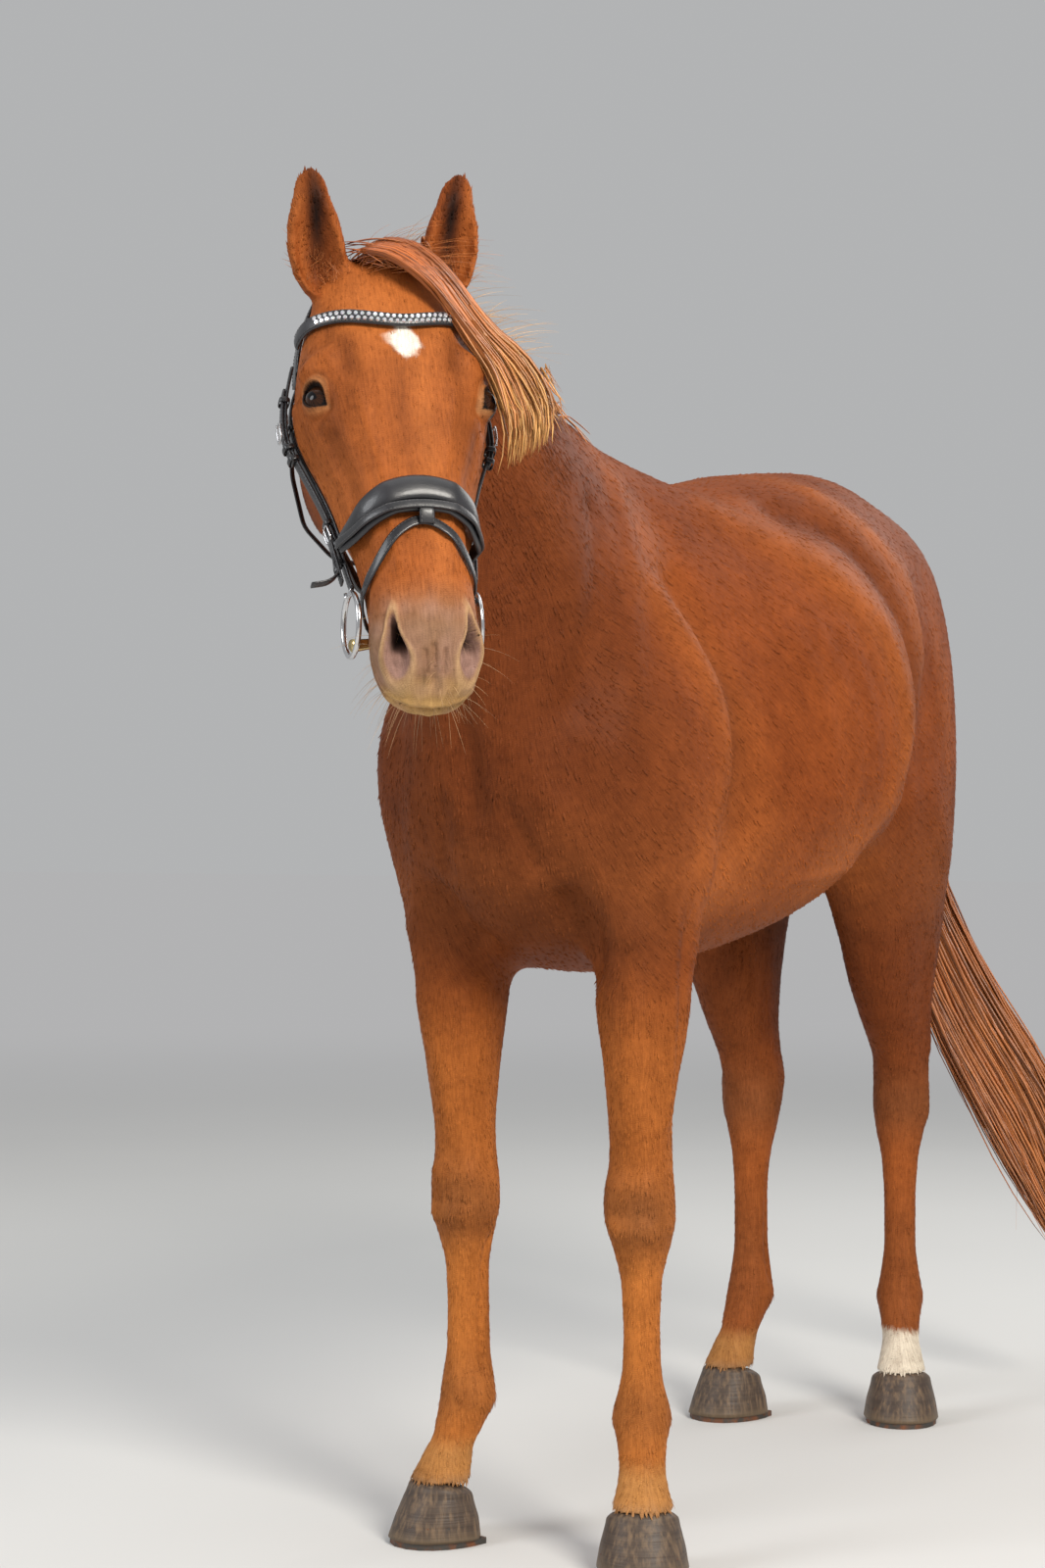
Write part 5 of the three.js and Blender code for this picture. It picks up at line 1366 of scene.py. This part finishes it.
# stitching along the strap edges
places, alongs, outs = [], [], []
for path, ups in stitchRuns:
    run = runOf(path)
    t = np.arange(0.003, run[-1] - 0.003, stitching["pitch"])
    places.append(sampled(path, run, t))
    alongs.append(unit(sampled(np.gradient(path, axis=0), run, t)))
    outs.append(sampled(ups, run, t))
places = np.concatenate(places)
stitches = scattered("stitches", places, np.concatenate(alongs), np.concatenate(outs),
                     np.tile(stitching["size"], (len(places), 1)),
                     cone("stitch", 5, 0.5, 0.5, 1.0, Matrix.Rotation(math.pi / 2, 3, "X")), "stitch")
newPiece("bridle stitching", stitches, "stitch", "bridle_leather")
report(f"bridle in: {len(places)} stitches")

# ---- Coat tufts ------------------------------------------------------------------------------------
tufts = {"each": 15000, "width": 0.32, "height": 0.024, "rise": 0.010, "stray": 0.16}
# one tuft: a thin bent leaf that lies along +Y, three edges round
tuftPoints = [(-0.5, -0.05, -0.6), (0.5, -0.05, -0.6), (0.0, -0.05, 0.05),
              (-0.42, 0.50, -0.15), (0.42, 0.50, -0.15), (0.0, 0.50, 0.85), (0.0, 1.0, 0.15)]
tuftFaces = [(0, 1, 2), (0, 3, 4, 1), (1, 4, 5, 2), (2, 5, 3, 0), (3, 6, 4), (4, 6, 5), (5, 6, 3)]
tuftMesh = newMesh("tuft", tuftPoints, tuftFaces)
# the two long rims stay crisp, so that the top keeps the light of the skin under it
rims = [{0, 3}, {3, 6}, {1, 4}, {4, 6}]
setAttribute(tuftMesh, "sharp_edge", "BOOLEAN", [set(e.vertices) in rims for e in tuftMesh.edges], "EDGE")
setAttribute(tuftMesh, "tuftPlace", "FLOAT_VECTOR", [(p[0], p[1] - 0.5, 0) for p in tuftPoints])


def growCoat(graph, given):
    seed = given("Seed")
    density = graph.named("tuftShare", "FLOAT") * given("Density")
    roots = graph.add("GeometryNodeDistributePointsOnFaces", {"distribute_method": "RANDOM"},
                      {"Mesh": given("Geometry"), "Density": density, "Seed": seed})
    normal = roots.other("Normal")
    wander = graph.add("FunctionNodeRandomValue", {"data_type": "FLOAT_VECTOR"},
                       {0: (-1, -1, -1), 1: (1, 1, 1), "Seed": seed})
    way = graph.vector("ADD", graph.named("lie"), graph.scaled(wander, given("Stray")))
    way = graph.vector("ADD", way, graph.scaled(normal, given("Rise")))
    turned = graph.add("FunctionNodeAxesToRotation", {"primary_axis": "Y", "secondary_axis": "Z"},
                       {"Primary Axis": way, "Secondary Axis": normal})
    vary = graph.add("FunctionNodeRandomValue", {"data_type": "FLOAT"}, {2: 0.7, 3: 1.3, "Seed": seed}, 1)
    long = graph.named("hairLength", "FLOAT") * vary
    size = graph.add("ShaderNodeCombineXYZ", None,
                     {"X": long * given("Width"), "Y": long, "Z": long * given("Height")})
    tuft = graph.add("GeometryNodeObjectInfo", None, {"Object": given("Tuft")}, "Geometry")
    stamped = graph.add("GeometryNodeInstanceOnPoints", None,
                        {"Points": roots, "Instance": tuft, "Rotation": turned, "Scale": size})
    solid = graph.add("GeometryNodeRealizeInstances", None, {"Geometry": stamped})
    flat = graph.vector("ADD", graph.named("rootPlace"), graph.scaled(graph.named("tuftPlace"), mapPatch))
    mapped = graph.add("GeometryNodeStoreNamedAttribute", {"data_type": "FLOAT2", "domain": "CORNER"},
                       {"Geometry": solid, "Name": "OFBake", "Value": flat})
    return graph.add("GeometryNodeSetMaterial", None, {"Geometry": mapped, "Material": given("Material")})


share = smoothStep(0.0, 0.004, length) * (1 - smoothStep(0.2, 0.9, naked))
onFore, onHind = (np.char.find(part.astype(str), name) >= 0 for name in ("_fore_", "_hind_"))
areas = {"face": np.isin(part, ["head", "muzzle", "ear_left", "ear_right"]), "fore legs": onFore,
         "hind legs": onHind, "neck": part == "neck", "shoulder": part == "forehand",
         "barrel": part == "barrel", "haunch": np.isin(part, ["hindquarters", "dock"])}
a, b, c = (skinPoints[skinFaces[:, k]] for k in range(3))
faceArea = np.linalg.norm(np.cross(b - a, c - a), axis=1) / 2
stamp = newPiece("tuft stamp", tuftMesh)
for k, (name, mask) in enumerate(areas.items()):
    local = share * mask
    setAttribute(skinMesh, "tuftShare", "FLOAT", local)
    density = float(tufts["each"] / (local[skinFaces].mean(1) * faceArea).sum())
    coatMesh = grown(skin, "coat " + name,
                     {"Tuft": stamp, "Density": density, "Seed": 5 + k, "Stray": tufts["stray"],
                      "Rise": tufts["rise"], "Width": tufts["width"], "Height": tufts["height"],
                      "Material": looks["coat"]}, growCoat)
    newPiece("coat " + name, coatMesh, "coat", "coat")
    report(f"coat on the {name}: {len(coatMesh.polygons)} faces")
dropped(stamp)
skinMesh.attributes.remove(skinMesh.attributes["tuftShare"])


# ---- Long hair ----------------------------------------------------------------------------
hair = {
    "root": colour(158, 84, 38), "middle": colour(176, 104, 50), "tip": colour(206, 158, 92),
    "tailRoot": colour(126, 66, 32), "tailTip": colour(176, 112, 62),
    "whisker": colour(186, 150, 110), "lash": colour(40, 26, 20), "ear": colour(170, 104, 58),
    "locks": {"forelock": 420, "side": 110, "poll": 300, "mane": 900, "tail": 1500, "dock": 420},
    "fewer": {"forelock": 160, "side": 50, "poll": 90, "mane": 300, "tail": 500, "dock": 120},
}
lockCounts = hair["locks"]
crestLine = ([-0.562, 0.1], [0.058, 0.0])  # the neck's bend, as y and the x of its crest
fullTurn = 2 * math.pi


def locks(name, paths, outs, widths, thicks, tones, roots, nodes=()):
    # paths (n, k, 3): each lock is a flat four-sided strand that narrows to its tip
    n, k = paths.shape[:2]
    ahead = unit(np.gradient(paths, axis=1))
    beside = unit(np.cross(ahead, outs))
    up = np.cross(beside, ahead)
    ring = [beside * widths[..., None] / 2, up * thicks[..., None] / 2]
    points = np.stack([paths + ring[0], paths + ring[1], paths - ring[0], paths - ring[1]], 2).reshape(-1, 3)
    lock, step, edge = np.meshgrid(np.arange(n), np.arange(k - 1), np.arange(4), indexing="ij")
    base = (lock * k + step) * 4
    later = (edge + 1) % 4
    faces = np.stack([base + edge, base + later, base + 4 + later, base + 4 + edge], -1).reshape(-1, 4)
    first = np.arange(n)[:, None] * k * 4
    caps = np.concatenate([first + [3, 2, 1, 0], first + (k - 1) * 4 + [0, 1, 2, 3]])
    mesh = newMesh(name, points, np.concatenate([faces, caps]))

    def fourTimes(values):  # the same value for each corner of a ring
        return np.broadcast_to(values[..., None], (n, k, 4))

    steps = np.linalg.norm(np.diff(paths, axis=1), axis=2)
    run = np.concatenate([np.zeros((n, 1)), np.cumsum(steps, axis=1)], 1)
    corner = np.broadcast_to(np.array([0.5, 0, -0.5, 0]), (n, k, 4))
    strand = np.stack([corner * widths[..., None], fourTimes(run),
                       fourTimes(np.arange(n)[:, None] * 0.37 + np.zeros(k))], -1)
    setAttribute(mesh, "coatTone", "FLOAT_COLOR", np.repeat(tones.reshape(-1, 3), 4, axis=0))
    setAttribute(mesh, "strand", "FLOAT_VECTOR", strand.reshape(-1, 3))
    local = np.stack([corner, fourTimes(run / run[:, -1:] - 0.5)], -1) * mapPatch
    flat = (roots[:, None, None] + local).reshape(-1, 2)
    mesh.uv_layers.new(name="OFBake").data.foreach_set("uv", flat[cornersOf(mesh)].ravel())
    a, b, d = (points[faces[:, i]] for i in (0, 1, 3))
    outward = a - paths.reshape(-1, 3)[base.reshape(-1) // 4]
    if np.einsum("ij,ij->i", outward, np.cross(b - a, d - a)).sum() < 0:
        mesh.flip_normals()
    return newPiece(name, mesh, "hair", "long_hair", nodes)


def hairTones(n, k, rootShade, tipShade, spread=0.16):
    tone = mix(rootShade, tipShade, np.linspace(0, 1, k)[None, :, None] ** 1.3)
    return tone * (1 + rng.normal(0, spread, (n, 1, 1))) * (1 + rng.normal(0, 0.04, (n, k, 1)))


def taper(k, belly, root):  # full at the belly, a point at the tip
    t = np.linspace(0, 1, k)
    fall = np.clip((t - belly) / (1 - belly), 0, 1) ** 2.2
    return np.clip(np.where(t < belly, mix(root, 1, t / belly), np.sqrt(1 - fall)), 0.03, 1)


def tress(name, paths, outs, size, roots, part, nodes=(), belly=0.3, root=0.5, widths=(0.6, 1.2), flat=0.4,
          shades=("root", "tip"), fade=None, most=(0, 1)):
    # many locks of one kind; fade says where along each its last shade comes in
    n, k = paths.shape[:2]
    width = size * taper(k, belly, root) * rng.uniform(*widths, (n, 1))
    tones = hairTones(n, k, hair[shades[0]], hair["middle"])
    if fade is not None:
        tones = mix(tones, hair[shades[1]], (fade * rng.uniform(*most, (n, 1)))[..., None])
    locks(name, paths, np.broadcast_to(outs, paths.shape), width, width * flat, tones,
          chart(roots, np.full(n, part)), nodes)


def along(values, t):  # a smooth curve through the rows, read at fractions of it
    x = np.asarray(t) * (len(values) - 1)
    i = np.clip(x.astype(int), 0, len(values) - 2)
    f = (x - i)[..., None]
    before, after = values[np.maximum(i - 1, 0)], values[np.minimum(i + 2, len(values) - 1)]
    a, b = values[i], values[i + 1]
    return 0.5 * (2 * a + (b - before) * f + (2 * before - 5 * a + 4 * b - after) * f ** 2
                  + (3 * a - before - 3 * b + after) * f ** 3)


def resting(paths, clear):  # nothing sinks into the head or its browband
    for i in range(len(paths)):
        over = clear * rng.uniform(0.5, 2.2)
        for j in range(1, paths.shape[1]):
            spot, normal = (np.array(v) for v in skinTree.find_nearest(Vector(paths[i, j]))[:2])
            band = 0.011 * bell((headPlaceOf(spot)[0] - 0.100) / 0.014)
            paths[i, j] += normal * max(over + band - (paths[i, j] - spot) @ normal, 0)
    return paths


def crestX(y):
    return np.interp(y - shift[1], *crestLine) + shift[0]


def overTop(x, y, guess):  # the skin straight below a high point
    hit = skinTree.ray_cast(Vector((x, y, 2.4)), Vector((0, 0, -1)), 2)
    return hit if hit[0] is not None else skinTree.find_nearest(Vector((x, y, guess)))


# forelock: from between the ears it is blown over the left ear's foot and down beside the face
foreRows = np.array([  # down, deep and out of its middle, half its width and half its depth
    (-0.003, -0.012, -0.019, 0.020, 0.006), (0.012, -0.026, 0.007, 0.021, 0.008),
    (0.036, -0.030, 0.035, 0.019, 0.009), (0.062, -0.024, 0.061, 0.016, 0.010),
    (0.090, -0.012, 0.083, 0.015, 0.010), (0.127, 0.004, 0.112, 0.016, 0.011),
    (0.160, 0.016, 0.140, 0.021, 0.012), (0.200, 0.026, 0.158, 0.026, 0.011),
    (0.240, 0.034, 0.165, 0.027, 0.010), (0.286, 0.040, 0.156, 0.024, 0.008)])
count, k = lockCounts["forelock"], 16
a, b = rng.uniform(-1, 1, (count, 1)), rng.uniform(-1, 1, (count, 1))
t = np.linspace(0, 1, k)[None] * rng.uniform(0.70, 1.0, (count, 1)) ** 0.7
row = along(foreRows, t)
wave = np.sin(t * 9 + rng.uniform(0, 6.28, (count, 1))) * 0.004 * t
wave = wave + rng.normal(0, 0.010, (count, 1)) * t ** 2
paths = onHead(row[..., 0], row[..., 1], row[..., 2]) \
    + unit(-headDown * 0.5 + headLeft * 0.86) * (row[..., 3] * a + wave)[..., None] \
    + headFront * (row[..., 4] * b * 0.7 + rng.normal(0, 0.006, (count, 1)) * t ** 2)[..., None]
paths = resting(paths, 0.003)
tress("forelock", paths, headFront, 0.0058, paths[:, 0] - headFront * 0.01, "head", ("forelock",),
      fade=smoothStep(0.35, 1.0, t), most=(0.3, 1))

# a looser lock blown further out, over the neck
sideRows = np.array([
    (0.062, -0.020, 0.070, 0.008, 0.006), (0.096, -0.004, 0.096, 0.010, 0.008),
    (0.128, 0.014, 0.124, 0.011, 0.008), (0.143, 0.026, 0.147, 0.012, 0.008),
    (0.157, 0.038, 0.171, 0.013, 0.007), (0.172, 0.048, 0.197, 0.012, 0.006),
    (0.191, 0.058, 0.220, 0.009, 0.005)])
count, k = lockCounts["side"], 14
t = np.linspace(0, 1, k)[None] * rng.uniform(0.6, 1.0, (count, 1))
row = along(sideRows, t)
a, b = rng.uniform(-1, 1, (count, 1)), rng.uniform(-1, 1, (count, 1))
paths = onHead(row[..., 0], row[..., 1], row[..., 2]) \
    + unit(headLeft * 0.5 - headDown * 0.86) * (row[..., 3] * a)[..., None] \
    + headFront * (row[..., 4] * b)[..., None] + rng.normal(0, 0.006, (count, 1, 3)) * (t ** 2)[..., None]
paths = resting(paths, 0.003)
tress("side locks", paths, headFront, 0.0048, paths[:, 0], "head", fade=smoothStep(0.3, 1.0, t),
      most=(0.2, 1))

# poll hair: lies across between the ears and runs down into the forelock
count, k = lockCounts["poll"], 12
across = rng.uniform(-0.048, 0.040, count)
begin = onHead(rng.uniform(-0.022, 0.012, count), rng.uniform(0.000, 0.050, count), across)
spots = nearSkin(begin)[0]
goal = onHead(rng.uniform(0.006, 0.050, count), rng.uniform(-0.036, -0.022, count),
              0.030 + 0.5 * across + rng.normal(0, 0.008, count))
t = np.linspace(0, 1, k)[None] * rng.uniform(0.7, 1.0, (count, 1))
arch = np.sin(t * math.pi) * rng.uniform(0.004, 0.014, (count, 1))
paths = mix(spots[:, None], goal[:, None], t[..., None])
paths = paths + (headFront * 0.4 - headDown * 0.9) * arch[..., None]
tress("poll locks", resting(paths, 0.002), headFront * 0.5 - headDown * 0.5, 0.0050, spots, "head")

# mane: rooted along the crest and lying over to the right
count, k = lockCounts["mane"], 14
y = rng.uniform(-0.495, 0.035, count) + shift[1]
x = crestX(y)
paths, outs = np.zeros((count, k, 3)), np.zeros((count, k, 3))
reach = np.interp(y - shift[1], [-0.5, -0.42, -0.05, 0.035], [0.085, 0.125, 0.120, 0.060])
reach = reach * rng.uniform(0.50, 1.15, count)
for i in range(count):
    spot, normal = (np.array(v) for v in overTop(x[i] + rng.normal(0, 0.010), y[i], 1.7)[:2])
    stand = rng.uniform(0.003, 0.012)
    heading = np.array([-0.55, 0.10 + rng.normal(0, 0.10), -0.80])
    spot = spot + normal * -0.002
    for j in range(k):
        paths[i, j] = spot + normal * stand * math.sin(min(j / 3, 1) * math.pi / 2)
        outs[i, j] = normal
        way = heading - normal * (heading @ normal)
        if j == 0:
            way = way + np.array([-0.6, 0, 0])
        spot = spot + unit(way) * reach[i] / (k - 1)
        spot, normal = (np.array(v) for v in skinTree.find_nearest(Vector(spot))[:2])
tress("mane locks", paths, outs, 0.0070, paths[:, 0], "neck", ("mane",), belly=0.4, flat=0.35,
      fade=np.linspace(0, 1, k)[None], most=(0.0, 0.55))

# tail: hangs from the dock and is blown over to the left
tailRows = np.array([  # place, half the width, half the depth and slope in degrees
    (0.004, 1.505, 1.520, 0.030, 0.026, 0), (0.008, 1.520, 1.450, 0.038, 0.034, 0),
    (0.016, 1.545, 1.310, 0.048, 0.042, 5), (0.018, 1.560, 1.120, 0.050, 0.042, 8),
    (0.036, 1.556, 0.930, 0.055, 0.040, 14), (0.126, 1.546, 0.720, 0.074, 0.037, 24),
    (0.246, 1.534, 0.520, 0.082, 0.034, 30), (0.322, 1.518, 0.360, 0.054, 0.026, 34),
    (0.372, 1.504, 0.240, 0.016, 0.008, 36)])
tailBack = np.array([0.0, 1.0, 0.0])
count, k = lockCounts["tail"], 15
fromT = rng.uniform(0.0, 0.27, (count, 1)) ** 1.2
finish = np.maximum(rng.uniform(0.60, 0.995, (count, 1)) ** 0.7, fromT + 0.35)
t = fromT + np.linspace(0, 1, k)[None] * (finish - fromT)
row = along(tailRows, t)
angleT = rng.uniform(0, fullTurn, (count, 1))
grow = smoothStep(0, 0.18, t - fromT)
wide = mix(1.0, np.sqrt(rng.uniform(0.05, 1, (count, 1))), grow)
ca, sa = np.cos(angleT) * wide, np.sin(angleT) * wide
slope = np.radians(row[..., 5])
tailSide = np.stack([np.cos(slope), 0 * slope, np.sin(slope)], -1)
wave = 0.006 * np.sin(t * 16 + rng.uniform(0, 6.28, (count, 1))) * t
wave = wave + np.clip(rng.normal(0, 0.010, (count, 1)), -0.016, 0.014) * t ** 2
inset = mix(0.72, 0.97, grow)
paths = row[..., :3] + shift + tailSide * (row[..., 3] * ca * inset + wave)[..., None] \
    + tailBack * (row[..., 4] * sa * inset)[..., None]
outs = unit(tailSide * ca[..., None] + tailBack * sa[..., None] + 1e-6)
tress("tail locks", paths, outs, 0.0090, paths[:, 0], "dock", ("tail_hair",), belly=0.35, root=0.6,
      widths=(0.55, 1.15), shades=("tailRoot", "tailTip"), fade=smoothStep(0.4, 1.0, t), most=(0.2, 1))

# hair of the dock: runs back along its top and falls over the head of the tail
count, k = lockCounts["dock"], 13
angleT = rng.uniform(0, fullTurn, (count, 1))
ca, sa = np.cos(angleT), np.abs(np.sin(angleT))
y = rng.uniform(1.395, 1.535, count) + shift[1]
x = 0.026 * ca[:, 0] + 0.004 + shift[0] + rng.normal(0, 0.004, count)
spots = np.array([overTop(px, py, 1.56)[0] for px, py in zip(x, y)])
t = np.linspace(0, 1, k)[None] * rng.uniform(0.30, 1.0, (count, 1))
row = along(tailRows, 0.02 + 0.46 * t)
sink = 1 - 0.20 * smoothStep(0.25, 1.0, t)  # the ends pass in among the locks below
goal = row[..., :3] + shift + (row[..., 4] * sa * 1.12 * sink)[..., None] * tailBack
goal[..., 0] += row[..., 3] * ca * 1.05 * sink
paths = mix(spots[:, None], goal, smoothStep(0, 0.32, t)[..., None])
paths[..., 2] += 0.012 * np.sin(np.minimum(t * 3.8, 1) * math.pi)
outs = unit(np.stack([ca * 0.6, sa + 0.3, 0 * ca + 0.6], -1))
tress("dock locks", paths, outs, 0.0070, paths[:, 0], "dock", belly=0.35, root=0.6, widths=(0.55, 1.15),
      shades=("tailRoot", "tailTip"))
report("long hair in")


# whiskers, lashes, ear hair and wisps
def fineHair(name, starts, ways, lengths, droop, thickness, shade, k=7, spread=0.12, part="head"):
    n = len(starts)
    t = np.linspace(0, 1, k)[None, :, None]
    ways = unit(ways + rng.normal(0, spread, (n, 3)))
    paths = starts[:, None] + (ways[:, None] * t + np.asarray(droop) * t ** 2) * lengths[:, None, None]
    outs = np.broadcast_to(unit(np.cross(ways, rng.normal(size=(n, 3))))[:, None], paths.shape)
    width = thickness * np.linspace(1, 0.15, k)[None] * np.ones((n, 1))
    locks(name, paths, outs, width, width * 0.8, hairTones(n, k, shade, shade * 1.2, 0.2),
          chart(starts, np.full(n, part)))


n = 130
side = rng.choice([1, -1], n)
spots, ways = nearSkin(onHead(rng.uniform(0.50, 0.625, n), rng.uniform(0.05, 0.15, n),
                              side * rng.uniform(0.0, 0.06, n)))
fineHair("whiskers", spots - ways * 0.001, ways, rng.uniform(0.015, 0.055, n), headDown * 0.35, 0.0006,
         hair["whisker"])
n = 26
u = np.linspace(-0.8, 0.85, n) * lids["half"]
w = lids["top"] * (1 - np.abs(u / lids["half"]) ** 2.1) + 0.0008
h = np.sqrt(np.maximum((eyePlace["radius"] + lids["thick"]) ** 2 - u ** 2 - w ** 2, 0))
lashes = np.concatenate([eyeCentre[s] + np.outer(u, cornerWay[s]) + np.outer(w, browWay[s])
                         + np.outer(h - 0.001, gazeWay[s]) for s in (1, -1)])
lashWays = np.concatenate([np.tile(gazeWay[s] * 0.9 + browWay[s] * 0.25 - cornerWay[s] * 0.1, (n, 1))
                           for s in (1, -1)])
fineHair("eyelashes", lashes, lashWays, rng.uniform(0.010, 0.015, 2 * n), headDown * 0.35, 0.0007,
         hair["lash"], spread=0.08)
n = 420
side = rng.choice([1, -1], n)
high = rng.uniform(0.0, 0.115, n)
spots, ways = nearSkin([earBase[s] - headDown * h * 0.98 + headLeft * s * (h * 0.12 + o) + headFront * 0.012
                        for s, h, o in zip(side, high, rng.normal(0, 0.016, n))])
earWays = unit(ways * 0.8 + headFront * 0.5 - headDown * 0.5)
fineHair("ear hair", spots - ways * 0.001, earWays, rng.uniform(0.010, 0.022, n), headDown * -0.1, 0.0011,
         hair["ear"], spread=0.35, part="ear_left")
n = 90
spots, ways = nearSkin(onHead(rng.uniform(-0.01, 0.03, n), rng.uniform(-0.01, 0.05, n),
                              rng.uniform(-0.035, 0.03, n)))
fineHair("poll wisps", spots - ways * 0.001, unit(ways * 0.7 + headLeft * 0.8), rng.uniform(0.04, 0.13, n),
         headDown * 0.45 + headLeft * 0.2, 0.0009, hair["middle"], spread=0.30, k=10)
n = 120
y = rng.uniform(-0.49, -0.05, n) + shift[1]
spots, ways = nearSkin(np.stack([crestX(y), y, np.full(n, 1.84)], -1))
fineHair("crest wisps", spots - ways * 0.001, unit(ways * 0.8 + np.array([0.35, 0.2, 0.1])),
         rng.uniform(0.03, 0.09, n), (0.35, 0.05, -0.35), 0.0009, hair["tip"], spread=0.30, k=9, part="neck")
n = 160
row = along(tailRows, rng.uniform(0.3, 0.86, n))
starts = row[:, :3] + shift + rng.normal(0, 0.02, (n, 3))
fineHair("tail wisps", starts, np.stack([row[:, 5] * 0.010, 0 * row[:, 5], -np.ones(n)], -1),
         rng.uniform(0.05, 0.11, n), (0.0, 0.0, -0.2), 0.0010, hair["tailTip"], spread=0.25, k=9, part="dock")
report("fine hair in")

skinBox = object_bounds()
report(f"sizes {[list(c) for c in cadBox]} {[list(c) for c in skinBox]}")
